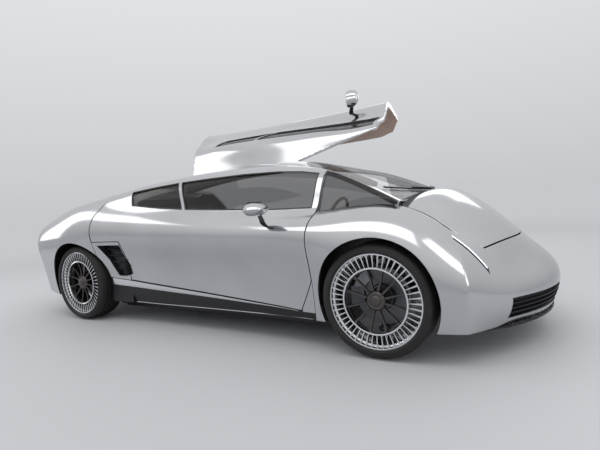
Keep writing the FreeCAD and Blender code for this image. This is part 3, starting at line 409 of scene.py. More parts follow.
def one_piece(name, parts):
    """Several objects joined into the first."""
    bpy.ops.object.select_all(action="DESELECT")
    for o in parts:
        o.select_set(True)
    bpy.context.view_layer.objects.active = parts[0]
    if len(parts) > 1:
        bpy.ops.object.join()
    return named(name)


def second(o, name):
    """A second object with its own copy of the mesh."""
    twin = o.copy()
    twin.data = o.data.copy()
    twin.name = name
    twin.data.name = name
    bpy.context.collection.objects.link(twin)
    return twin


def panel(name, surface, columns, rows, wall, sink=0.0, wall_at=None, faces=None):
    """Shaped sheet: surface(u, v) gives millimetres; wall is its thickness, sink sets it in.
    faces are the outer and inner materials."""
    bpy.ops.object.select_all(action="DESELECT")
    bpy.ops.mesh.primitive_grid_add(x_subdivisions=columns, y_subdivisions=rows, size=2)
    o = named(name)
    shares = [((v.co.x + 1) / 2, (v.co.y + 1) / 2) for v in o.data.vertices]
    shape_all(o, lambda c: [q / 1000 for q in surface((c.x + 1) / 2, (c.y + 1) / 2)])
    mid = o.data.polygons[len(o.data.polygons) // 2]
    middle = Vector((mid.center.x * 0.9, 0, 0.45))
    if (mid.center - middle).dot(mid.normal) < 0:
        pick(o)
        bpy.ops.object.mode_set(mode="EDIT")
        bpy.ops.mesh.select_all(action="SELECT")
        bpy.ops.mesh.flip_normals()
        bpy.ops.object.mode_set(mode="OBJECT")
    if sink:
        moves = [v.normal * sink / 1000 for v in o.data.vertices]
        for v, step in zip(o.data.vertices, moves):
            v.co -= step
        o.data.update()
    lining = 1 if faces else 0
    for material in faces or ():
        o.data.materials.append(material)
    if wall_at:
        group = o.vertex_groups.new(name="wall")
        for i, (u, v) in enumerate(shares):
            group.add([i], wall_at(u, v) / wall, "REPLACE")
        refine(o, "SOLIDIFY", thickness=wall / 1000, offset=-1, vertex_group="wall", material_offset=lining)
        o.vertex_groups.clear()
    else:
        refine(o, "SOLIDIFY", thickness=wall / 1000, offset=-1, material_offset=lining)
    return o


def mirror_copy(o, name):
    twin = second(o, name)
    twin.data.transform(Matrix.Scale(-1, 4, (0, 1, 0)))
    return tidy(twin)


hinge_line = Vector((math.cos(math.radians(hinge_tilt)), 0, math.sin(math.radians(hinge_tilt))))
hinge_spot = Vector((hinge_x, hinge_y, hinge_z)) / 1000


def swing_open(o):
    turn = Matrix.Rotation(math.radians(door_open), 4, hinge_line)
    o.data.transform(Matrix.Translation(hinge_spot) @ turn @ Matrix.Translation(-hinge_spot))
    return o


def paint(o, material):
    if len(o.data.materials) < 2:
        o.data.materials.clear()
        o.data.materials.append(material)
    return o


def stands_for(o, material, body, *nodes):
    """Finish of a piece, the body it rides on and the CAD nodes it takes the place of."""
    paint(o, material)
    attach(o, body)
    if nodes:
        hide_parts(*nodes)
    return o


def both_flanks(o, material, left=(), right=()):
    """A left piece of the body and its mirror image on the right."""
    twin = mirror_copy(o, o.name.replace("left", "right"))
    smooth_faces(twin)
    stands_for(o, material, "body", *left)
    stands_for(twin, material, "body", *right)


def both_doors(o, material, degrees=30, node=None):
    """A piece drawn at the closed left door: swung open there, and mirrored onto the right door."""
    left = second(smooth_faces(o, degrees), o.name.replace("right", "left"))
    swing_open(left)
    shape_all(o, lambda c: (c.x, -c.y, c.z))
    smooth_faces(tidy(o), degrees)
    stands_for(left, material, "door_left", *([node + "_left"] if node else []))
    stands_for(o, material, "door_right", *([node + "_right"] if node else []))


def inside(sheet, tools):
    """The parts of a sheet that lie inside each cutter; the sheet and the cutters go."""
    parts = []
    for tool in tools:
        o = second(sheet, "part")
        refine(o, "BOOLEAN", object=tool, operation="INTERSECT", solver="EXACT")
        parts.append(o)
    drop(sheet, *tools)
    return parts


# Materials


def hex_colour(text):
    """sRGB hex to linear colour."""
    out = []
    for i in (0, 2, 4):
        c = int(text[i:i + 2], 16) / 255
        out.append(c / 12.92 if c <= 0.04045 else ((c + 0.055) / 1.055) ** 2.4)
    return (*out, 1.0)


def add(tree, kind, settings=None, links=None):
    """Add one node, set its values and plug sockets into it."""
    n = tree.nodes.new(kind)
    for key, value in (settings or {}).items():
        if isinstance(key, str) and hasattr(n, key):
            setattr(n, key, value)
        else:
            n.inputs[key].default_value = value
    for key, socket in (links or {}).items():
        tree.links.new(socket, n.inputs[key])
    return n


def finish(name, colour, metallic=0.0, roughness=0.4, ior=1.5, **more):
    """Start a material: returns it, its tree, its shader and object coordinates in millimetres."""
    m = bpy.data.materials.new(name)
    m.use_nodes = True
    tree = m.node_tree
    tree.nodes.clear()
    place = add(tree, "ShaderNodeTexCoord")
    scale = add(tree, "ShaderNodeMapping", {"Scale": (1000, 1000, 1000)}, {"Vector": place.outputs["Object"]})
    shader = add(tree, "ShaderNodeBsdfPrincipled", {"Base Color": hex_colour(colour), "Metallic": metallic,
                                                    "Roughness": roughness, "IOR": ior, **more})
    add(tree, "ShaderNodeOutputMaterial", None, {"Surface": shader.outputs[0]})
    return m, tree, shader, scale.outputs[0]


def grain(tree, where, size_mm, detail=3.0):
    noise = add(tree, "ShaderNodeTexNoise", {"Scale": 1.0 / size_mm, "Detail": detail}, {"Vector": where})
    return noise.outputs["Fac"]


def spread(tree, value, low, high):
    """Map a 0 to 1 pattern onto low to high."""
    return add(tree, "ShaderNodeMapRange", {"To Min": low, "To Max": high}, {"Value": value}).outputs[0]


def tint(tree, value, a, b):
    """Colour between two hex colours, led by a pattern."""
    n = add(tree, "ShaderNodeMix", {"data_type": "RGBA"}, {0: value})
    n.inputs[6].default_value = hex_colour(a)
    n.inputs[7].default_value = hex_colour(b)
    return n.outputs[2]


def relief(tree, shader, height, depth_mm, strength=0.3):
    """Fine surface relief of a depth in millimetres."""
    bump = add(tree, "ShaderNodeBump", {"Strength": strength, "Distance": depth_mm / 1000},
               {"Height": height})
    tree.links.new(bump.outputs[0], shader.inputs["Normal"])


def plug(tree, value, shader, socket):
    tree.links.new(value, shader.inputs[socket])


def polished_aluminium():
    """Hand-polished aluminium skin: a near mirror with faint polishing haze and soft waves."""
    m, tree, shader, where = finish("polished_aluminium", "C0C1C3", 1.0, 0.12)
    plug(tree, spread(tree, grain(tree, where, 140), 0.09, 0.17), shader, "Roughness")
    plug(tree, tint(tree, grain(tree, where, 420), "B5B6B8", "CACBCD"), shader, "Base Color")
    relief(tree, shader, grain(tree, where, 300, 1.0), 1.0, 0.10)
    return m


def turned_alloy():
    """Turned and polished wheel alloy: bright, with a fine random speckle in its roughness."""
    m, tree, shader, where = finish("turned_alloy", "DADBDD", 1.0, 0.16)
    plug(tree, spread(tree, grain(tree, where, 3), 0.12, 0.24), shader, "Roughness")
    return m


def dark_alloy():
    """Tinted anodised alloy of the wheel centres: grey-brown, satin metal."""
    m, tree, shader, where = finish("tinted_anodising", "5A5654", 1.0, 0.28)
    plug(tree, spread(tree, grain(tree, where, 6), 0.22, 0.36), shader, "Roughness")
    return m


def tyre_rubber():
    """Carbon-black tyre rubber: dull, with a faint brown bloom and fine moulding grain."""
    m, tree, shader, where = finish("tyre_rubber", "17171A", 0.0, 0.7, 1.52)
    plug(tree, tint(tree, grain(tree, where, 60), "121214", "1F1E1E"), shader, "Base Color")
    plug(tree, spread(tree, grain(tree, where, 8), 0.55, 0.8), shader, "Roughness")
    relief(tree, shader, grain(tree, where, 1.5), 0.3, 0.4)
    return m


def satin_black():
    """Moulded black plastic: satin, with a fine leather-like mould grain."""
    m, tree, shader, where = finish("moulded_black", "0E0E10", 0.0, 0.42, 1.5)
    plug(tree, spread(tree, grain(tree, where, 30), 0.34, 0.5), shader, "Roughness")
    relief(tree, shader, grain(tree, where, 2.0), 0.2, 0.25)
    return m


def wire_mesh():
    """Woven black wire: a 14 mm diamond mesh, drawn as raised dark-grey threads; the openings between them
    carry painted shade, near-black, for the dark seen through the mesh.
    """
    m, tree, shader, where = finish("woven_wire", "1A1B1D", 0.6, 0.4)
    cells = add(tree, "ShaderNodeTexVoronoi",
                {"feature": "DISTANCE_TO_EDGE", "Scale": 1 / 14.0, "Randomness": 0.0},
                {"Vector": where}).outputs["Distance"]
    wire = add(tree, "ShaderNodeMapRange", {"From Min": 0.1, "From Max": 0.18, "To Min": 1.0, "To Max": 0.0},
               {"Value": cells}).outputs[0]
    # painted shade: the mesh openings are coloured near-black (050506) for the shaded duct seen through them;
    # the threads are dark grey (3A3C40)
    plug(tree, tint(tree, wire, "050506", "3A3C40"), shader, "Base Color")
    relief(tree, shader, wire, 2.0, 0.8)
    return m


def bare_composite():
    """Woven carbon composite: dark twill under satin resin, drawn at 12 mm a tow so that it shows."""
    m, tree, shader, where = finish("woven_composite", "1A1A1D", 0.0, 0.38, 1.55)
    weave = add(tree, "ShaderNodeTexWave",
                {"wave_type": "BANDS", "bands_direction": "DIAGONAL", "Scale": 0.08, "Distortion": 0.4},
                {"Vector": where}).outputs["Fac"]
    plug(tree, tint(tree, weave, "111113", "26262A"), shader, "Base Color")
    return m


def tinted_glass(name, colour, alpha):
    """Toughened glass: clear to look through, tinted, with bright edges to its reflections."""
    m, tree, shader, where = finish(name, colour, 0.0, 0.02, 1.52)
    shader.inputs["Alpha"].default_value = alpha
    plug(tree, spread(tree, grain(tree, where, 500), 0.01, 0.04), shader, "Roughness")
    return m


def lamp_plastic(name, colour, glow):
    """Moulded acrylic lens: glossy, faintly ribbed behind its face."""
    m, tree, shader, where = finish(name, colour, 0.0, 0.08, 1.49)
    ribs = add(tree, "ShaderNodeTexWave", {"wave_type": "BANDS", "bands_direction": "Y", "Scale": 0.06},
               {"Vector": where}).outputs["Fac"]
    relief(tree, shader, ribs, 0.8, 0.35)
    if glow:
        shader.inputs["Emission Color"].default_value = hex_colour(colour)
        shader.inputs["Emission Strength"].default_value = glow
    return m


def hide(name, dark, light):
    """Aniline leather: soft low sheen, pebbled grain of about 2 mm and slow colour drift."""
    m, tree, shader, where = finish(name, light, 0.0, 0.5, 1.5)
    plug(tree, tint(tree, grain(tree, where, 90), dark, light), shader, "Base Color")
    plug(tree, spread(tree, grain(tree, where, 25), 0.42, 0.6), shader, "Roughness")
    pebbles = add(tree, "ShaderNodeTexVoronoi", {"Scale": 0.25}, {"Vector": where}).outputs["Distance"]
    relief(tree, shader, pebbles, 0.5, 0.35)
    return m


def roof_cloth():
    """Brushed microfibre: matt, warm grey, with a soft nap of about 4 mm patches and sheen."""
    m, tree, shader, where = finish("brushed_microfibre", "9C8D80", 0.0, 0.85, 1.5, **{"Sheen Weight": 0.5})
    plug(tree, tint(tree, grain(tree, where, 40), "8F8074", "A6978A"), shader, "Base Color")
    relief(tree, shader, grain(tree, where, 4), 0.4, 0.3)
    return m


def machined_steel():
    """Machined and oiled steel: grey metal with short tool marks."""
    m, tree, shader, where = finish("machined_steel", "66686C", 1.0, 0.35)
    plug(tree, spread(tree, grain(tree, where, 12), 0.28, 0.45), shader, "Roughness")
    return m


def cast_alloy():
    """Sand-cast aluminium: dull, pale, lightly pitted."""
    m, tree, shader, where = finish("cast_alloy", "9A9CA0", 1.0, 0.5)
    relief(tree, shader, grain(tree, where, 3), 0.6, 0.5)
    return m


def plate_enamel():
    """Blank plate in dark enamel: glossy, with a faint orange-peel."""
    m, tree, shader, where = finish("plate_enamel", "1B1C1F", 0.0, 0.2, 1.5)
    relief(tree, shader, grain(tree, where, 12), 0.3, 0.2)
    return m


silver = polished_aluminium()
alloy = turned_alloy()
smoked_alloy = dark_alloy()
rubber = tyre_rubber()
black = satin_black()
mesh_wire = wire_mesh()
composite = bare_composite()
dark_glass = tinted_glass("tinted_glass", "0D0B0B", 0.56)
clear_glass = tinted_glass("screen_glass", "20262A", 0.30)
red_lens = lamp_plastic("red_lens", "4A070B", 0.10)
smoked_lens = lamp_plastic("smoked_lens", "1A1C20", 0.0)
lamp_white = lamp_plastic("lamp_light_guide", "F2F6FF", 1.6)
lamp_red = lamp_plastic("lamp_red_guide", "D8141A", 0.55)
suede = roof_cloth()
brown_hide = hide("brown_leather", "5B3220", "8F5536")
sand_hide = hide("sand_leather", "A98C7C", "C9AE9D")
steel = machined_steel()
casting = cast_alloy()
plate_black = plate_enamel()

# Body panels


def strip(points_at, x0, x1):
    """Surface from sections across the car: u runs along x, v down the section."""
    def surface(u, v):
        x = x0 + (x1 - x0) * u
        y, z = lines(x)(v)
        return x, y, z

    store = {}

    def lines(x):
        if x not in store:
            store[x] = through(points_at(x))
        return store[x]

    return surface


def round_end(rows, axle, sign, top, end_degrees):
    """Surface round the nose or tail: u runs over the bearing, v down the section."""
    ends = [on_bearing(axle, sign, end_degrees, side_lines[i], side_lines[i + 1]) for i in range(0, 10, 2)]
    table = [(row[0],) + tuple((row[i], row[i + 1]) for i in range(1, 9, 2)) for row in rows]
    table.append((end_degrees,) + tuple(ends[1:]))
    both = [(-row[0],) + row[1:] for row in table[:0:-1]] + table
    lines = [(smooth([(row[0], row[k][0]) for row in both]), smooth([(row[0], row[k][1]) for row in both]))
             for k in range(1, 5)]
    store = {}

    def edge(degrees):
        """Top edge: exact along the lid, then to the belt."""
        if degrees > end_degrees - 0.01:
            return ends[0]
        if sign < 0 or degrees <= nose_corner:
            return top(degrees)
        share = (degrees - nose_corner) / (end_degrees - nose_corner)
        return nose_shoulder(degrees), top(nose_corner)[1] * (1 - share) + ends[0][1] * share

    def surface(u, v):
        degrees = -end_degrees + 2 * end_degrees * u
        if degrees not in store:
            points = [(r(degrees), z(degrees)) for r, z in lines]
            store[degrees] = through([edge(abs(degrees))] + points)
        r, z = store[degrees](v)
        if sign > 0:
            r -= 2.6 * math.exp(-((z - 360) / 130) ** 2)
        c, s = math.cos(math.radians(degrees)), math.sin(math.radians(degrees))
        return axle + sign * r * c, r * s, z

    return surface


def finish_panel(o, soften=1.6):
    """Round the shut edges a little and shade the skin smooth."""
    tidy(o)
    refine(o, "BEVEL", width=soften / 1000, segments=2, limit_method="ANGLE", angle_limit=math.radians(50),
           use_clamp_overlap=True, harden_normals=False)
    return smooth_faces(o)


def fender():
    surface = strip(side_points, door_front + shut_gap, fender_tip)
    o = panel("front_fender_skin_left", surface, 110, 48, skin_wall, faces=(silver, composite))
    c, s = math.cos(math.radians(nose_end)), math.sin(math.radians(nose_end))
    ahead = prism([(front_axle, 0), (front_axle + far_out * c, far_out * s), (front_axle + far_out, far_out),
                   (front_axle + far_out, 0)], "z", -100, 2500)
    arch = drum(front_axle, arch_y, axle_z, front_arch, arch_depth)
    cut(o, ahead, arch)
    drop(ahead, arch)
    both_flanks(finish_panel(o), silver, ["front_fender_left"], ["front_fender_right"])


def quarter():
    surface = strip(quarter_points, quarter_tip, door_rear - rear_gap)
    o = panel("rear_quarter_skin_left", surface, 120, 64, skin_wall, faces=(silver, composite))
    c, s = math.cos(math.radians(tail_end)), math.sin(math.radians(tail_end))
    far_x = rear_axle - far_out
    behind = prism([(rear_axle - far_out * c, far_out * s)] + tail_seam() + [(far_x, 600), (far_x, far_out)],
                   "z", -100, 2500)
    arch = drum(rear_axle, arch_y, axle_z, rear_arch, arch_depth)
    cut(o, behind, arch)
    drop(behind, arch)
    both_flanks(finish_panel(o), silver, ["rear_quarter_left"], ["rear_quarter_right"])


def lamp_band(grow):
    """Plan of the band round the tail that holds the rear lamps."""
    half = []
    for degrees in (0, 7, 14, 21, 28, 35, 42, 48, 54 + grow / 20):
        r = 925 + 100 * (degrees / 42) ** 1.7 - grow
        half.append((rear_axle - r * math.cos(math.radians(degrees)), r * math.sin(math.radians(degrees))))
    last = math.radians(54 + grow / 20)
    half += [(rear_axle - far_out * math.cos(last), far_out * math.sin(last)), (rear_axle - far_out, 0)]
    return half + [(x, -y) for x, y in half[-2:0:-1]]


def nose():
    skin = round_end(NOSE, front_axle, 1, nose_top, nose_end)
    o = panel("nose_skin", skin, 150, 48, skin_wall, faces=(silver, composite))
    mouth = bar("cutter", 2000, 2600, -636, 636, intake_low, intake_high)
    cut(o, mouth)
    lamp = prism([(1888, 720), (2078, 696), (2092, 718), (1896, 746)], "z", 450, 1000)
    twin = mirror_copy(lamp, "cutter")
    cut(o, lamp, twin)
    drop(mouth, lamp, twin)
    finish_panel(o)
    stands_for(o, silver, "body", "nose")
    slit = both_sides([(1889, 721), (2077, 697), (2091, 717.5), (1897, 745)], 450, 1000)
    lens_set("headlamp_lens", skin, 14, 1.0, smoked_lens, slit, "headlamps")
    bright_edge = both_sides([(1893, 724), (2074, 701), (2076, 705), (1895, 729)], 450, 1000)
    lens_set("headlamp_strip", skin, 4, -0.6, lamp_white, bright_edge)


def tail():
    skin = round_end(TAIL, rear_axle, -1, tail_top, tail_end)
    o = panel("tail_skin", skin, 160, 52, skin_wall, faces=(silver, composite))
    slot = prism(lamp_band(0), "z", 842, 880)
    pocket = bar("cutter", -2600, -2426, -266, 266, 619, 741)
    cut(o, slot, pocket)
    drop(slot, pocket)
    finish_panel(o)
    stands_for(o, silver, "body", "tail")
    band = [prism(lamp_band(-1), "z", 843, 879)]
    lens_set("tail_lamp_lens", skin, 14, 1.5, red_lens, band, "tail_lamps")
    glow = [prism(lamp_band(-8), "z", z, z + 5) for z in (852, 866)]
    lens_set("tail_lamp_bars", skin, 4, 0.4, lamp_red, glow)


def both_sides(plan, low, high):
    first = prism(plan, "z", low, high)
    return [first, mirror_copy(first, "cutter")]


def lens_set(name, surface, wall, sink, material, keeps, *nodes):
    """Pieces of a skin that lie inside the given cutters, as one object."""
    sheet = panel(name, surface, 200, 60, wall, sink)
    o = tidy(one_piece(name, inside(sheet, keeps)))
    return stands_for(smooth_faces(o), material, "body", *nodes)


def bonnet():
    rim = [(belt_y(x) - shut_gap - 2, x) for x in (bonnet_rear, 1720, 1800)]
    for degrees in (60, 56, 52, 48):
        r = nose_shoulder(degrees) - shut_gap - 2
        rim.append((r * math.sin(math.radians(degrees)), front_axle + r * math.cos(math.radians(degrees))))
    half_at = smooth([(x, y) for y, x in rim])

    def surface(u, v):
        x = bonnet_rear + (bonnet_front - bonnet_rear) * v
        for _ in range(8):
            y = (2 * u - 1) * half_at(min(x, rim[-1][1]))
            x = bonnet_rear + (bonnet_front - bonnet_sweep * (y / bonnet_half) ** 2 - bonnet_rear) * v
        return x, y, bonnet_height(x, y)

    o = panel("bonnet_skin", surface, 100, 64, lid_wall, faces=(silver, composite))
    stands_for(finish_panel(o), silver, "bonnet", "bonnet")


def lid_bank(x, y):
    """Boot lid with a crisper channel that narrows to the front."""
    edge = channel_half + 80 * (x - lid_front) / (lid_rear - lid_front) - 40
    lift = ease((abs(y) - edge) / 46)
    top = deck_edge(x) - (abs(y) / lid_half) ** 2 * 4
    return (deck_centre(x) - channel_depth * 0.5) * (1 - lift) + top * lift


def boot_lid():
    def surface(u, v):
        y = (2 * u - 1) * lid_half
        x = lid_front + (lid_rear + lid_sweep * (y / lid_half) ** 2 - lid_front) * v
        return x, y, lid_bank(x, y)

    o = panel("boot_lid_skin", surface, 140, 50, lid_wall, faces=(silver, composite))
    stands_for(finish_panel(o), silver, "boot_lid", "boot_lid")


def roof():
    def surface(u, v):
        x = roof_rear + (screen_low - roof_rear) * u
        y = (2 * v - 1) * rail_y(x)
        return x, y, roof_height(x, y)

    o = panel("roof_skin", surface, 160, 74, roof_wall, faces=(silver, suede))
    strip_edge = hinge_y - seam_half
    rear, front = door_rear - rear_gap - 1, screen_low + 50
    door_plan = [(rear, strip_edge), (pillar_root[0], strip_edge),
                 (screen_top, pillar_line(screen_top, -shut_gap)),
                 (front, pillar_line(front, -shut_gap)), (front, 1200), (rear, 1200)]
    side = prism(door_plan, "z", 500, 1700)
    other = mirror_copy(side, "cutter")
    screen = prism(screen_outline(0), "z", 500, 1700)
    cut(o, side, other, screen)
    drop(side, other, screen)
    stands_for(finish_panel(o), silver, "body", "roof_frame")


def screen_outline(gap):
    """Plan of the windscreen: a bowed head, and sides along the pillars."""
    inset = -shut_gap - pillar_width - gap
    corner = pillar_line(screen_top + 200, inset)
    brow = smooth([(-corner, screen_top + 200), (-260, screen_top + 60 + gap), (0, screen_top + gap),
                   (260, screen_top + 60 + gap), (corner, screen_top + 200)])
    foot = pillar_line(screen_low, inset)
    top = [(brow(corner * (1 - k / 14)), corner * (1 - k / 14)) for k in range(29)]
    return [(screen_low + 10, foot)] + top + [(screen_low + 10, -foot)]


def screen():
    def surface(u, v):
        x = 600 + (screen_low - 600) * u
        y = (2 * v - 1) * rail_y(x)
        return x, y, roof_height(x, y)

    o = panel("windscreen_pane", surface, 60, 50, pane_wall)
    keep = prism(screen_outline(1), "z", 500, 1700)
    refine(o, "BOOLEAN", object=keep, operation="INTERSECT", solver="EXACT")
    drop(keep)
    smooth_faces(tidy(o))
    stands_for(o, clear_glass, "body", "windscreen")


def window_outlines(grow):
    """Side views of the door's long pane and its small rear one."""
    def low(x):
        return x, belt_z(x) + window_margin - grow

    def high(x):
        return x, rail_z(x) - window_margin + grow

    half = window_post / 2
    front = [low(post_foot + half - grow), low(250), low(650), low(window_front + grow),
             high(window_front + grow), high(850), high(650), high(350), high(0),
             high(post_head + half - grow)]
    rear = [low(window_rear_low - grow), low(-500), low(post_foot - half + grow),
            high(post_head - half + grow), high(-600), high(window_rear_high - grow)]
    return front, rear


def window_cutters(grow):
    return [prism(outline, "y", 340, 1200) for outline in window_outlines(grow)]


def door():
    surface = strip(door_section, door_rear, door_front)

    def depth(u, v):
        """Thin over the roof, deep below the belt, and thinner again along both shut lines."""
        low = door_low_wall - (door_low_wall - door_front_wall) * ease((u - 0.88) / 0.07)
        deep = door_roof_wall + (low - door_roof_wall) * min(max((v - 0.45) / 0.14, 0), 1)
        return min(deep, door_shut_wall) if u * (door_front - door_rear) < 22 else deep

    o = panel("door_skin_right", surface, 150, 90, 105, wall_at=depth, faces=(silver, sand_hide))
    ahead = prism([(pillar_root[0], 100), pillar_root, (screen_low, pillar_line(screen_low)),
                   (screen_low, 100)], "z", 0, 2000)
    behind = -1300
    below = prism([(1100, -10), (1100, 460), (door_front, 460), (930, door_low_edge(930)),
                   (behind, door_low_edge(behind)), (behind, -10)], "y", 600, 1200)
    step = prism([(behind, 0), (door_rear_low, 0), (door_rear_low, intake_top), (behind, intake_top)],
                 "y", 600, 1200)
    panes = window_cutters(0)
    cut(o, ahead, below, step, *panes)
    drop(ahead, below, step, *panes)
    finish_panel(o)
    sheet = panel("door_pane_right", surface, 120, 80, pane_wall, 9)
    glass = tidy(one_piece("door_pane_right", inside(sheet, window_cutters(-0.5))))
    both_doors(o, silver, node="door")
    both_doors(glass, dark_glass, node="door_glass")


def rear_pane_height(x, y):
    """Height of the rear pane between roof, boot lid and quarters."""
    share = (x - roof_rear) / (lid_front - roof_rear)
    edge_y, edge_z = quarter_points(x)[0]
    centre = roof_centre(roof_rear) * (1 - share) + deck_centre(lid_front) * share
    return centre - (centre - edge_z) * (y / edge_y) ** 2


def glazing():
    def side(u, v):
        x = door_front + shut_gap + 1 + (1575 - door_front) * u
        return (x, *through([(rail_y(x), rail_z(x)), window_mid(x), (belt_y(x), belt_z(x))])(v))

    o = panel("quarter_pane_left", side, 40, 24, pane_wall)
    both_flanks(smooth_faces(o), dark_glass, ["quarter_glass"])

    def back(u, v):
        x = roof_rear + (rear_glass_low - roof_rear) * u
        y = (2 * v - 1) * (quarter_points(x)[0][0] - 6)
        return x, y, rear_pane_height(x, y)

    o = panel("rear_pane", back, 20, 60, pane_wall)
    stands_for(smooth_faces(o), dark_glass, "body", "rear_glass")


def scoop():
    """Bright panel with a dark duct between door and rear wheel, over a dark foot."""
    front, rear = door_rear_low - 10, door_rear - shut_gap + 2

    def upper(u, v):
        x = front + (rear - front) * u
        z = 735 + (door_low_edge(x) - 6 - 735) * v
        return x, skin_y(x, z), z

    def foot(u, v):
        x = front + (-1094 - front) * u
        z = door_low_edge(x) - 14 + (196 - door_low_edge(x)) * v
        return x, skin_y(x, z) - 12, z

    mouth = [(-844, 706), (-1136, 706), (-1128, 694), (-1040, 548), (-940, 434), (-926, 428), (-844, 428)]
    slim = [(-850, 700), (-1126, 700), (-1120, 692), (-1035, 552), (-936, 440), (-924, 434), (-850, 434)]
    arch = drum(rear_axle, arch_y, axle_z, rear_arch, arch_depth)
    hole = prism(mouth, "y", 700, 1100)
    o = panel("side_scoop_skin_left", upper, 60, 44, 14, faces=(silver, composite))
    cut(o, hole, arch)
    drop(hole)
    low = panel("side_scoop_foot_left", foot, 40, 24, 14)
    cut(low, arch)
    drop(arch)
    tray = prism(mouth, "y", 842, 893)
    well = prism(slim, "y", 848, 1000)
    cut(tray, well)
    drop(well)
    tray.name = tray.data.name = "side_duct_left"
    vanes = []
    for z in (476, 530, 584, 638):
        reach = -900 - (z - 428) * 0.84
        vane = bar("vane", reach, -848, 850, 905, z, z + 4)
        shape_all(vane, lambda c: (c.x, c.y, c.z + (c.x + 0.848) * -0.06 + (c.y - 0.85) * 0.35))
        refine(vane, "BEVEL", width=0.0012, segments=2)
        vanes.append(vane)
    grille = one_piece("side_vanes_left", vanes)
    for piece, material, nodes in ((o, silver, ("side_scoop_left", "side_scoop_right")), (low, black, ()),
                                   (tray, mesh_wire, ("intake_vanes",)), (grille, black, ())):
        both_flanks(finish_panel(piece, 1.2), material, nodes)


def sill_corners():
    """Bright filler between the door's slanted front foot, the wing and the rocker."""
    def surface(u, v):
        x = 941 + (door_front + 3 - 941) * u
        top = 250 + (x - 930) * 210 / 110 - 12
        z = top + (238 - top) * v
        return x, skin_y(x, z) - 1, z

    o = panel("sill_corner_left", surface, 24, 20, 10, faces=(silver, composite))
    both_flanks(finish_panel(o, 1.2), silver)


def rear_bars():
    """Two slim bright bars that part the rear pane into a middle and two side lights."""
    for side, sign in (("left", 1), ("right", -1)):
        def surface(u, v):
            x = roof_rear - 6 + (rear_glass_low - roof_rear + 12) * u
            y = 430 + 90 * u + 17 * v
            return x, sign * y, rear_pane_height(x, y) + 5 - 3 * abs(2 * v - 1)

        o = panel("rear_bar_" + side, surface, 24, 4, 7)
        stands_for(finish_panel(o, 1.0), alloy, "body")


def callipers():
    """Cast callipers over the brake discs, fixed to the knuckles in front and to the body behind."""
    def shape(a, b, c):
        turn = math.radians(118 + 64 * a)
        ends = 1 - 0.16 * (2 * a - 1) ** 4
        r = 124 + 70 * c * ends
        return r * math.cos(turn), 739 + 62 * b, r * math.sin(turn)

    source = block("calliper", 8, shape)
    gap = drum(0, 770, 0, 186, 34)
    cut(source, gap)
    drop(gap)
    refine(source, "BEVEL", width=0.003, segments=2, limit_method="ANGLE", angle_limit=math.radians(40))
    for place, x in (("front", front_axle), ("rear", rear_axle)):
        for side, sign in (("left", 1), ("right", -1)):
            o = second(source, "calliper_" + place + "_" + side)
            shape_all(o, lambda c: (c.x + x / 1000, c.y * sign, c.z + axle_z / 1000))
            smooth_faces(tidy(o), 35)
            stands_for(o, casting, "knuckle_" + side if place == "front" else "body")
    drop(source)


def plate_frame():
    """Slim bright frame round the blank plate."""
    o = bar("plate_frame", -2436, -2428, -262, 262, 622, 738)
    hole = bar("cutter", -2500, -2400, -254, 254, 630, 730)
    cut(o, hole)
    drop(hole)
    refine(o, "BEVEL", width=0.0015, segments=2, limit_method="ANGLE")
    stands_for(smooth_faces(tidy(o)), smoked_alloy, "body")


def liners():
    """Moulded half-round liners over the wheels, let in behind the wings' edges."""
    for place, x, r, inner in (("front", front_axle, front_arch, 520), ("rear", rear_axle, rear_arch, 680)):
        def surface(u, v):
            turn = math.radians(-18 + 216 * u)
            px, pz = x + (r + 8) * math.cos(turn), axle_z + (r + 8) * math.sin(turn)
            out = skin_y(px, max(pz, 190)) - 24
            return px, inner + (out - inner) * v, pz

        o = panel("arch_liner_" + place + "_left", surface, 90, 16, 4)
        both_flanks(smooth_faces(tidy(o)), black)
    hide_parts("arch_liners")


def blade():
    """Polished blade under the door: deep at the scoop, running out to a line at the front wheel."""
    def surface(u, v):
        x = -1086 + (900 + 1086) * u
        top = door_low_edge(x) - shut_gap - 3
        depth = 56 * (1 - u) ** 1.25 + 6
        z = top - depth * v
        return x, max(skin_y(x, z), side_lines[8](x)) - 1 - 5 * v * v, z

    def line(u, v):
        x = door_rear_low + 10 + (1000 - door_rear_low - 10) * u
        return x, side_lines[8](x) - 30, 189 - 6 * v

    for name, path, wall in (("sill_blade_left", surface, 8), ("sill_line_left", line, 4)):
        both_flanks(finish_panel(panel(name, path, 80, 6, wall), 1.0), alloy)


def window_seals():
    """Rubber lips round the side panes, closed on the right and swung up on the left."""
    surface = strip(door_section, door_rear, door_front)
    sheet = panel("door_seals_right", surface, 150, 90, 8, 1.2)
    rings = []
    for outer, inner in zip(window_cutters(1.0), window_cutters(-9.0)):
        o = second(sheet, "door_seal")
        refine(o, "BOOLEAN", object=outer, operation="INTERSECT", solver="EXACT")
        cut(o, inner)
        drop(outer, inner)
        rings.append(o)
    drop(sheet)
    both_doors(tidy(one_piece("door_seals_right", rings)), black)


def roof_gutters():
    """Dark drip channels under the seams between roof strip and doors."""
    def surface(u, v):
        x = door_rear + 1290 * u
        y, drop_z = ((272, 34), (272, 50), (284, 54), (298, 54), (312, 52))[min(int(v * 4 + 0.5), 4)]
        return x, y, roof_height(x, y) - drop_z

    both_flanks(smooth_faces(panel("roof_gutter_left", surface, 40, 4, 2)), black)


def mouth_grille():
    """Fine dark mesh and three vanes in the nose's mouth."""
    skin = round_end(NOSE, front_axle, 1, nose_top, nose_end)

    def mouth(half, low, high):
        return bar("cutter", 2000, 2600, -half, half, low, high)

    lens_set("grille_mesh", skin, 3, 24, mesh_wire, [mouth(634, 218, 352)], "grille")
    vanes = [mouth(628, z, z + 5) for z in (252, 280, 308)]
    lens_set("grille_vanes", skin, 20, 3.5, black, vanes)


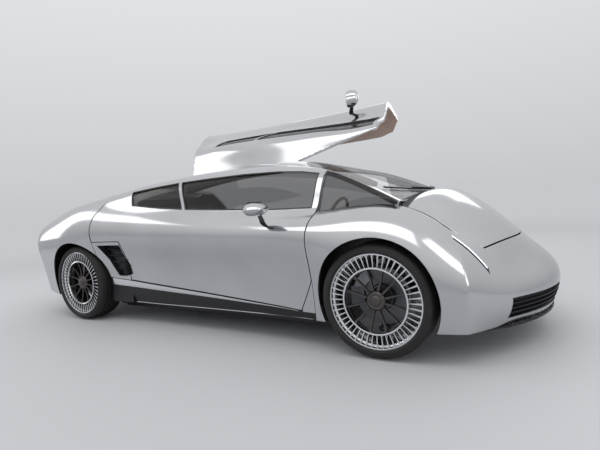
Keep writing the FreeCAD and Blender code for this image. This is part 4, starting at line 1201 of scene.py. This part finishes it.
def mirror_faces():
    """Mirror glass, set into the flat rear of each shell."""
    for side, body in ((1, "door_left"), (-1, "door_right")):
        bpy.ops.object.select_all(action="DESELECT")
        bpy.ops.mesh.primitive_circle_add(vertices=48, radius=1, fill_type="NGON")
        o = named("mirror_face_left" if side > 0 else "mirror_face_right")
        shape_all(o, lambda c: (0.6715, 1.010 + c.x * 0.078, 0.945 + c.y * 0.030))
        bpy.ops.object.mode_set(mode="EDIT")
        bpy.ops.mesh.select_all(action="SELECT")
        bpy.ops.mesh.inset(thickness=0.004, depth=0.0)
        bpy.ops.mesh.extrude_region_move(TRANSFORM_OT_translate={"value": (-0.0015, 0, 0)})
        bpy.ops.object.mode_set(mode="OBJECT")
        refine(o, "SOLIDIFY", thickness=0.002, offset=0)
        if side > 0:
            swing_open(o)
        else:
            shape_all(o, lambda c: (c.x, -c.y, c.z))
        smooth_faces(tidy(o))
        stands_for(o, alloy, body)


def mirror_stalks():
    """Black arms that carry the mirror shells off the doors."""
    def shape(a, b, c):
        arch = 7 * math.sin(math.pi * b)
        return (660 + 55 * b + (a - 0.5) * (44 - 14 * b), 870 + 116 * b,
                832 + 81 * b + arch + (c - 0.5) * (18 - 5 * b))

    o = block("mirror_stalk_right", 7, shape)
    refine(o, "BEVEL", width=0.004, segments=3, limit_method="ANGLE", angle_limit=math.radians(50))
    both_doors(o, black, 40)


# Wheels


def revolve(name, profile, steps=96):
    """Ring turned about the y axis from an outline of (y, r) millimetres."""
    bpy.ops.object.select_all(action="DESELECT")
    bpy.ops.mesh.primitive_circle_add(vertices=len(profile), radius=1, fill_type="NOTHING")
    o = named(name)
    for v, p in zip(o.data.vertices, profile):
        v.co = (0, p[0] / 1000, p[1] / 1000)
    bpy.ops.object.mode_set(mode="EDIT")
    bpy.ops.mesh.select_all(action="SELECT")
    bpy.ops.mesh.spin(steps=steps, dupli=False, angle=2 * math.pi, center=(0, 0, 0), axis=(0, 1, 0))
    bpy.ops.object.mode_set(mode="OBJECT")
    return smooth_faces(tidy(o), 35)


def ring_of(o, count, start=0.0):
    """Copies of a piece round the y axis, joined into one mesh."""
    twins = []
    for k in range(count):
        twin = second(o, "twin")
        twin.data.transform(Matrix.Rotation(2 * math.pi * (k + start) / count, 4, "Y"))
        twins.append(twin)
    drop(o)
    return one_piece("ring", twins)


def fin():
    """One thin radial fin, thicker and prouder at its outer end."""
    foot, tip, back, face = 200, 288, 910, 936
    o = bar("fin", foot, tip, back, face, -3, 3)

    def taper(c):
        share = (c.x * 1000 - foot) / (tip - foot)
        half = 2.2 + 3.4 * share
        y = face - 8 * (1 - share) if c.y * 1000 > (back + face) / 2 else back
        return c.x, y / 1000, math.copysign(half / 1000, c.z)

    shape_all(o, taper)
    refine(o, "BEVEL", width=0.0012, segments=2)
    return smooth_faces(o, 40)


def spoke():
    """One slim spoke from the hub, waisted, dished and widening again towards the fin ring."""
    foot, tip = 50, 202
    o = bar("spoke", foot, tip, 894, 914, -6, 6)
    pick(o)
    bpy.ops.object.mode_set(mode="EDIT")
    bpy.ops.mesh.select_all(action="SELECT")
    bpy.ops.mesh.subdivide(number_cuts=3)
    bpy.ops.object.mode_set(mode="OBJECT")

    def waist(c):
        share = (c.x * 1000 - foot) / (tip - foot)
        width = 1.35 - 1.9 * share + 1.7 * share * share
        dish = -16 * math.sin(math.pi * share)
        return c.x, c.y + dish / 1000, c.z * width

    shape_all(o, waist)
    refine(o, "BEVEL", width=0.0015, segments=2, limit_method="ANGLE")
    return smooth_faces(o, 40)


def wheel_pieces():
    inner, outer = 714, 941
    barrel = revolve("rim", [(outer - 4, 293.5), (outer, 291), (outer - 2, 286), (outer - 22, 282),
                             (outer - 30, 272), (outer - 90, 264), (inner + 20, 270), (inner + 6, 282),
                             (inner, 287), (inner, 293.5), (inner + 10, 293.5), (inner + 16, 285),
                             (inner + 40, 274), (outer - 60, 270), (outer - 28, 285)])
    collar = revolve("collar", [(936, 196), (938, 200), (936, 206), (918, 208), (905, 205), (905, 192),
                                (920, 190)])
    hub = revolve("hub", [(932, 0.2), (932, 22), (928, 30), (921, 34), (921, 52), (914, 60), (900, 64),
                          (806, 64), (806, 43), (870, 43), (870, 0.2)])
    disc = revolve("disc", [(757, 70), (757, 178), (759, 180), (767, 180), (767, 174), (773, 174),
                            (773, 180), (781, 180), (783, 178), (783, 70)])
    bell = revolve("bell", [(783, 66), (783, 84), (790, 84), (812, 76), (812, 66)])
    lip = revolve("lip", [(939.5, 283), (941, 287), (939.5, 292), (937, 290), (937, 285)])
    fins = ring_of(fin(), 48)
    spokes = ring_of(spoke(), 12, 0.5)
    rim = one_piece("rim_piece", [barrel, collar, lip, fins])
    centre = one_piece("centre_piece", [hub, spokes])
    brake = one_piece("brake_piece", [disc, bell])
    half, mid = 127.5, 829
    inside_edge, outside_edge = mid - half, mid + half
    groove = []
    for row in (-62, -22, 22, 62):
        groove += [(mid + row - 5, 351.6), (mid + row - 4, 345), (mid + row + 4, 345), (mid + row + 5, 351.6)]
    tread = [(inside_edge + 8, 294.4), (inside_edge + 1, 302), (inside_edge, 318), (inside_edge + 6, 330),
             (inside_edge + 12, 338), (inside_edge + 26, 346), (inside_edge + 45, 350.4)] + groove
    tread += [(outside_edge - 45, 350.4), (outside_edge - 26, 346), (outside_edge - 12, 338),
              (outside_edge - 9, 334), (outside_edge - 3, 324), (outside_edge - 2, 316), (outside_edge, 312),
              (outside_edge - 1, 302), (outside_edge - 8, 294.4)]
    tyre = revolve("tyre_piece", tread, 128)
    return rim, centre, brake, tyre


def wheels():
    rim, centre, brake, tyre = wheel_pieces()
    for place, x in (("front", front_axle), ("rear", rear_axle)):
        for side, sign in (("left", 1), ("right", -1)):
            for source, kind, material in ((rim, "rim", alloy), (centre, "centre", smoked_alloy),
                                           (brake, "brake", steel), (tyre, "tyre", rubber)):
                o = second(source, kind + "_" + place + "_" + side + "_piece")
                o.data.transform(Matrix.Translation((x / 1000, 0, axle_z / 1000)))
                if sign < 0:
                    shape_all(o, lambda c: (c.x, -c.y, c.z))
                    tidy(o)
                smooth_faces(o, 35)
                stood = [kind + "_" + place + "_" + side] if kind in ("rim", "tyre") else []
                stands_for(o, material, "wheel_" + place + "_" + side, *stood)
    drop(rim, centre, brake, tyre)


# Cabin


def choose(o, test):
    """Go into edit mode with only the faces selected that pass a test."""
    pick(o)
    bpy.ops.object.mode_set(mode="EDIT")
    bpy.ops.mesh.select_mode(type="FACE")
    bpy.ops.mesh.select_all(action="DESELECT")
    bpy.ops.object.mode_set(mode="OBJECT")
    for face in o.data.polygons:
        face.select = test(face)
    bpy.ops.object.mode_set(mode="EDIT")


def block(name, cuts, shape):
    """Closed block with even faces, shaped from shares between 0 and 1."""
    bpy.ops.object.select_all(action="DESELECT")
    bpy.ops.mesh.primitive_cube_add(size=1)
    o = named(name)
    bpy.ops.object.mode_set(mode="EDIT")
    bpy.ops.mesh.select_all(action="SELECT")
    bpy.ops.mesh.subdivide(number_cuts=cuts)
    bpy.ops.object.mode_set(mode="OBJECT")
    shape_all(o, lambda c: [q / 1000 for q in shape(c.x + 0.5, c.y + 0.5, c.z + 0.5)])
    return tidy(o)


def swell(o, cap):
    """Blow a closed shape up as cloth, no point moving further than cap, then smooth it once."""
    refine(o, "REMESH", mode="VOXEL", voxel_size=0.012)
    start = [v.co.copy() for v in o.data.vertices]
    pick(o)
    cloth = o.modifiers.new("swell", "CLOTH")
    cloth.settings.use_pressure = True
    cloth.settings.uniform_pressure_force = 4
    cloth.settings.effector_weights.gravity = 0
    cloth.point_cache.frame_end = 20
    for moment in range(1, 21):
        bpy.context.scene.frame_set(moment)
    bpy.ops.object.modifier_apply(modifier="swell")
    bpy.context.scene.frame_set(1)
    for v, old in zip(o.data.vertices, start):
        step = v.co - old
        if step.length > cap:
            v.co = old + step * (cap / step.length)
    refine(o, "SUBSURF", levels=1, render_levels=1)
    return o


def sew(o, distance, depth=0.006, half=0.010):
    """Press sewn channels in where distance gives a vertex's way to the nearest line."""
    moves = []
    for v in o.data.vertices:
        moves.append(v.normal * depth * max(0.0, 1 - (distance(v.co) / half) ** 2))
    for v, step in zip(o.data.vertices, moves):
        v.co -= step
    o.data.update()
    return smooth_faces(o, 60)


def seat_pads():
    """Cushion and backrest of one seat at their places on the car's middle line, before the copies."""
    def cushion(a, b, c):
        y = (b - 0.5) * 456
        roll = 42 * ease((abs(y) - 150) / 50)
        nose = 34 * ease((a - 0.82) / 0.18) ** 2
        top = 92 + 36 * a + roll - nose
        inset = 1 - 0.05 * (2 * c - 1) ** 2
        return 32 + 448 * (0.5 + (a - 0.5) * inset), y * inset, 34 + (top - 34) * c

    def backrest(a, b, c):
        s = c
        half = 228 - 96 * ease((s - 0.66) / 0.2)
        y = (2 * b - 1) * half
        wing = 44 * ease((abs(y) - 150) / 46) * (1 - ease((s - 0.52) / 0.18))
        thick = 92 - 22 * ease((s - 0.7) / 0.2)
        inset = 1 - 0.06 * (2 * c - 1) ** 2
        front = 44 - 226 * s + wing + 14 * math.sin(math.pi * min(s / 0.6, 1))
        return front - thick * (1 - a), y * inset, 142 + 622 * s - 0.25 * thick * (1 - a)

    base = swell(block("seat_cushion", 11, cushion), 0.016)
    back = swell(block("seat_backrest", 13, backrest), 0.016)
    far = 99

    def base_lines(co):
        x, y = co.x * 1000, abs(co.y * 1000)
        across = min(abs(x - k) for k in (110, 180, 250, 320, 390)) if y < 140 and x < 410 else far
        return min(abs(y - 146) if co.z > 0.08 else far, across) / 1000

    def back_lines(co):
        y, s = abs(co.y * 1000), (co.z * 1000 - 142) / 622
        across = min(abs(s - k) * 622 for k in (0.16, 0.27, 0.38, 0.49, 0.60)) if y < 140 else far
        side = abs(y - 146) if s < 0.66 else far
        return min(side, across, abs(s - 0.74) * 622) / 1000

    return sew(base, base_lines), sew(back, back_lines)


def seats():
    base, back = seat_pads()
    outline = [(478, 8), (478, 30), (24, 32), (-62, 92), (-168, 420), (-250, 740), (-262, 806), (-286, 800),
               (-296, 735), (-190, 390), (-112, 62), (-8, 8)]
    shell = prism(outline, "y", -206, 206)
    shell.name = shell.data.name = "seat_shell"
    shape_all(shell, lambda c: (c.x, c.y * (1 - 0.44 * ease((c.z - 0.45) / 0.3)), c.z))
    refine(shell, "BEVEL", width=0.022, segments=5, limit_method="ANGLE", angle_limit=math.radians(35))
    low = 190
    for row, x, y, wide, tall in (("front", -60, 370, 1.0, 1.0), ("rear", -860, 350, 0.92, 0.938)):
        for side, sign in (("left", 1), ("right", -1)):
            for source, kind, material in ((base, "cushion", brown_hide), (back, "backrest", brown_hide),
                                           (shell, "shell", black)):
                o = second(source, row + "_seat_" + kind + "_" + side)
                shape_all(o, lambda c: (c.x + x / 1000, c.y * wide + sign * y / 1000,
                                        c.z * tall + low / 1000))
                smooth_faces(o, 60 if kind != "shell" else 30)
                stands_for(o, material, "body")
            if sign > 0:
                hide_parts(row + "_seats")
    drop(base, back, shell)


def fascia_x(z):
    """Place of the sloping fascia at a height."""
    return 735 + (z - 730) * 25 / 70


def vent(name, y, z):
    """Round air outlet: a ring with a sunk, finned middle."""
    bpy.ops.object.select_all(action="DESELECT")
    x = fascia_x(z) - 3
    bpy.ops.mesh.primitive_cylinder_add(vertices=40, radius=0.036, depth=0.016,
                                        location=(x / 1000, y / 1000, z / 1000),
                                        rotation=(0, math.radians(-90 - 19.6), 0))
    o = named(name)
    settle(o)
    choose(o, lambda face: face.normal.x < -0.8)
    bpy.ops.mesh.inset(thickness=0.006, depth=0.0)
    bpy.ops.mesh.inset(thickness=0.002, depth=-0.008)
    bpy.ops.object.mode_set(mode="OBJECT")
    refine(o, "BEVEL", width=0.001, segments=2, limit_method="ANGLE")
    slats = []
    for k in (-16, 0, 16):
        reach = math.sqrt(28 ** 2 - k ** 2)
        lean = x + k * 0.357
        slat = bar("slat", lean - 7, lean + 5, y - reach, y + reach, z + k - 1.5, z + k + 1.5)
        refine(slat, "BEVEL", width=0.0008, segments=1)
        slats.append(slat)
    return one_piece(name, [o] + slats)


def dashboard_trim():
    """Instrument hood, screens, air outlets and console details."""
    hood = prism([(752, 812), (778, 846), (850, 876), (930, 872), (930, 860), (852, 862), (792, 832),
                  (770, 800)], "y", 232, 508)
    hood.name = hood.data.name = "instrument_hood"
    refine(hood, "BEVEL", width=0.004, segments=3, limit_method="ANGLE", angle_limit=math.radians(40))
    stands_for(smooth_faces(hood, 40), black, "body")
    faces = []
    for name, y0, y1, z0, z1 in (("instrument_face", 246, 494, 742, 806),
                                 ("centre_screen", -118, 118, 738, 800)):
        o = bar(name, -5, 4, y0, y1, z0, z1)
        shape_all(o, lambda c: (c.x + fascia_x(c.z * 1000) / 1000, c.y, c.z))
        choose(o, lambda face: face.normal.x < -0.8)
        bpy.ops.mesh.inset(thickness=0.006, depth=0.0)
        bpy.ops.mesh.inset(thickness=0.001, depth=-0.0015)
        bpy.ops.object.mode_set(mode="OBJECT")
        refine(o, "BEVEL", width=0.0012, segments=2, limit_method="ANGLE")
        faces.append(smooth_faces(o))
    for o in faces:
        stands_for(o, smoked_lens, "body")
    outlets = [vent("outlet", y, 775) for y in (-600, -190, 190, 600)]
    o = smooth_faces(one_piece("air_outlets", outlets), 35)
    stands_for(o, black, "body")
    rail = bar("fascia_rail", -4, 2, -686, 686, 716, 724)
    shape_all(rail, lambda c: (c.x + (735 + (730 - c.z * 1000) * 1.2) / 1000, c.y, c.z))
    refine(rail, "BEVEL", width=0.0015, segments=2)
    stands_for(smooth_faces(rail), alloy, "body")
    plate = bar("console_plate", 120, 560, -70, 70, 0, 8)
    shape_all(plate, lambda c: (c.x, c.y, c.z + (450 + (c.x * 1000 + 200) * 20 / 700 + 0.5) / 1000))
    choose(plate, lambda face: face.normal.z > 0.8)
    bpy.ops.mesh.inset(thickness=0.008, depth=0.0)
    bpy.ops.mesh.inset(thickness=0.001, depth=-0.003)
    bpy.ops.object.mode_set(mode="OBJECT")
    refine(plate, "BEVEL", width=0.0015, segments=2, limit_method="ANGLE")
    stands_for(smooth_faces(plate), smoked_alloy, "body")
    lever = revolve("selector", [(0, 0.2), (0, 26), (6, 26), (10, 12), (52, 10), (62, 21), (84, 24),
                                 (98, 17), (101, 0.2)], 40)
    shape_all(lever, lambda c: (c.x + 0.40 + c.y * 0.12, c.z, c.y + 0.470))
    stands_for(smooth_faces(tidy(lever), 40), alloy, "body")


def hand_wheel():
    """Leather-bound rim on three alloy spokes round a padded hub, tilted to the driver."""
    turns = [math.radians(k * 22.5) for k in range(16)]
    rim = revolve("rim_hide", [(15 * math.cos(t), 182 + 14.5 * math.sin(t)) for t in turns])
    hub = revolve("hub", [(-16, 0.2), (-16, 34), (-10, 44), (6, 44), (22, 36), (40, 30), (40, 0.2)], 64)
    spokes = []
    for turn in (60, 180, 300):
        o = bar("spoke", -9, 9, -6, 3, 36, 172)
        shape_all(o, lambda c: (c.x * (1.35 - 3.6 * (c.z - 0.036)), c.y - 0.002, c.z))
        refine(o, "BEVEL", width=0.002, segments=2)
        o.data.transform(Matrix.Rotation(math.radians(turn), 4, "Y"))
        spokes.append(o)
    arms = one_piece("hand_wheel_spokes", spokes)
    centre = Vector((0.640, 0.370, 0.800))
    tilt = Matrix.Rotation(math.radians(22), 4, "Y")
    for o, name, material in ((rim, "hand_wheel_rim", brown_hide), (arms, "hand_wheel_spokes", alloy),
                              (hub, "hand_wheel_hub", black)):
        o.name = o.data.name = name
        shape_all(o, lambda c: centre + tilt @ Vector((c.y, c.x, c.z)))
        smooth_faces(tidy(o), 40)
        stands_for(o, material, "steering_wheel")
    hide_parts("steering_wheel")


def door_trim():
    """Arm rest and a bright line on the inner side of each door."""
    def rest(a, b, c):
        x = -330 + 720 * a
        z = 596 + 52 * c + 0.03 * x
        out = skin_y(x, 620) - door_low_wall
        bulge = 46 * math.sin(math.pi * (0.04 + 0.92 * a)) ** 0.5
        return x, out + 4 - (bulge + 6) * (1 - b) * (1 - 0.45 * (1 - c) ** 2), z

    pad = block("door_rest_right", 9, rest)
    refine(pad, "BEVEL", width=0.006, segments=2, limit_method="ANGLE", angle_limit=math.radians(50))
    refine(pad, "SUBSURF", levels=1, render_levels=1)

    def line(u, v):
        x = -700 + 1500 * u
        z = 712 + 7 * v + 0.03 * x
        return x, skin_y(x, z) - door_low_wall + 2, z

    bright = panel("door_line_right", line, 60, 1, 5)
    both_doors(pad, brown_hide, 45)
    both_doors(bright, alloy, 45)


def wipers():
    """Two parked wipers along the screen's foot."""
    parts = []
    for y0, y1, x0, x1 in ((-560, 60, 1440, 1578), (60, 560, 1586, 1470)):
        def blade_line(u, v):
            y = y0 + (y1 - y0) * u
            x = x0 + (x1 - x0) * u + 30 * math.sin(math.pi * u) + 13 * v
            return x, y, roof_height(x, y) + 15

        def arm_line(u, v):
            y = (y0 + y1) / 2 + (40 - (y0 + y1) / 2) * u
            x = (x0 + x1) / 2 + 30 + (1592 - (x0 + x1) / 2 - 30) * u + 12 * v
            return x, y, roof_height(x, y) + 24

        parts.append(panel("wiper", blade_line, 40, 2, 9))
        parts.append(panel("wiper", arm_line, 24, 2, 6))
    o = smooth_faces(tidy(one_piece("wipers", parts)))
    stands_for(o, black, "body")


# CAD nodes that keep their shape


def dress(node, material, body):
    """Copy of a CAD node with merged, smooth-shaded faces and its finish."""
    o = second(bpy.data.objects[node], node + "_dressed")
    o.hide_render = False
    settle(o)
    tidy(o, False, 0.00002)
    return stands_for(smooth_faces(o), material, body, node)


def kept_nodes():
    for node, material in (("sill_panels", black), ("splitter", black), ("number_plate", plate_black),
                           ("diffuser", black), ("cowl", black), ("rear_cowl", black), ("tub", composite),
                           ("power_pack", casting), ("front_subframe", steel), ("rear_subframe", steel),
                           ("dashboard", sand_hide), ("steering_column", black)):
        dress(node, material, "body")
    dress("knuckle_left", steel, "knuckle_left")
    dress("knuckle_right", steel, "knuckle_right")
    dress("mirror_left", silver, "door_left")
    dress("mirror_right", silver, "door_right")


# Light, floor and camera


def studio():
    """Pale seamless ground that meets the sky's own tone far out, and four soft lamps."""
    pale = hex_colour("C6C8CB")
    bpy.ops.object.select_all(action="DESELECT")
    bpy.ops.mesh.primitive_grid_add(x_subdivisions=60, y_subdivisions=60, size=120)
    floor = named("studio_floor")
    shape_all(floor, lambda c: (c.x, c.y, 0.0))
    m, tree, shader, where = finish("floor_sheet", "C2C3C6", 0.0, 0.6)
    plug(tree, spread(tree, grain(tree, where, 900), 0.5, 0.7), shader, "Roughness")
    far = add(tree, "ShaderNodeVectorMath", {"operation": "LENGTH"}, {0: where}).outputs["Value"]
    fade = add(tree, "ShaderNodeMapRange",
               {"interpolation_type": "SMOOTHSTEP", "From Min": 4500, "From Max": 12000},
               {"Value": far}).outputs[0]
    wall = add(tree, "ShaderNodeEmission", {"Color": pale, "Strength": 1.0})
    both = add(tree, "ShaderNodeMixShader", None, {0: fade, 1: shader.outputs[0], 2: wall.outputs[0]})
    out = [n for n in tree.nodes if n.bl_idname == "ShaderNodeOutputMaterial"][0]
    tree.links.new(both.outputs[0], out.inputs["Surface"])
    paint(floor, m)
    world = bpy.data.worlds.new("studio_sky")
    bpy.context.scene.world = world
    world.use_nodes = True
    tree = world.node_tree
    tree.nodes.clear()
    way = add(tree, "ShaderNodeTexCoord")
    split = add(tree, "ShaderNodeSeparateXYZ", None, {0: way.outputs["Generated"]})
    ramp = add(tree, "ShaderNodeValToRGB", None, {0: split.outputs[2]})
    ramp.color_ramp.elements[0].position = 0.0
    ramp.color_ramp.elements[0].color = pale
    ramp.color_ramp.elements[1].position = 0.75
    ramp.color_ramp.elements[1].color = hex_colour("F4F5F7")
    sky = add(tree, "ShaderNodeBackground", {"Strength": 1.0}, {"Color": ramp.outputs[0]})
    add(tree, "ShaderNodeOutputWorld", None, {"Surface": sky.outputs[0]})
    lamps = (((0.5, -2.5, 5.5), (7, 2.2), 62, (0.2, 0, 0.6)),
             ((5.5, -1.0, 3.2), (1.6, 4.5), 34, (1.0, 0, 0.6)),
             ((-5.5, -2.0, 3.0), (1.6, 4.5), 34, (-1.0, 0, 0.6)),
             ((0, 5.5, 3.5), (6, 1.6), 40, (0, 0, 0.8)))
    for spot, size, power, aim in lamps:
        bpy.ops.object.light_add(type="AREA", location=spot)
        lamp = bpy.context.active_object
        lamp.data.shape = "RECTANGLE"
        lamp.data.size, lamp.data.size_y = size
        lamp.data.energy = power
        lamp.rotation_euler = (Vector(aim) - Vector(spot)).to_track_quat("-Z", "Y").to_euler()
    bpy.context.scene.view_settings.view_transform = "Standard"


def camera():
    """Wide view from low in front of the right side, as in the first picture."""
    bpy.ops.object.camera_add(location=(2.42, -3.30, 1.0))
    eye = bpy.context.active_object
    eye.name = "photo_view"
    yaw, pitch, roll = math.radians(121.0), math.radians(-3.6), math.radians(-4.2)
    look = Vector((math.cos(yaw) * math.cos(pitch), math.sin(yaw) * math.cos(pitch), math.sin(pitch)))
    turn = look.to_track_quat("-Z", "Y").to_matrix().to_4x4()
    eye.rotation_euler = (turn @ Matrix.Rotation(roll, 4, "Z")).to_euler()
    eye.data.sensor_width = 36
    eye.data.lens = 18 / math.tan(math.radians(70) / 2)
    eye.data.clip_end = 200
    bpy.context.scene.camera = eye


fender()
quarter()
nose()
tail()
bonnet()
boot_lid()
roof()
screen()
door()
glazing()
window_seals()
roof_gutters()
scoop()
sill_corners()
liners()
rear_bars()
plate_frame()
blade()
mouth_grille()
mirror_faces()
mirror_stalks()
wheels()
callipers()
seats()
dashboard_trim()
hand_wheel()
door_trim()
wipers()
kept_nodes()
studio()
camera()
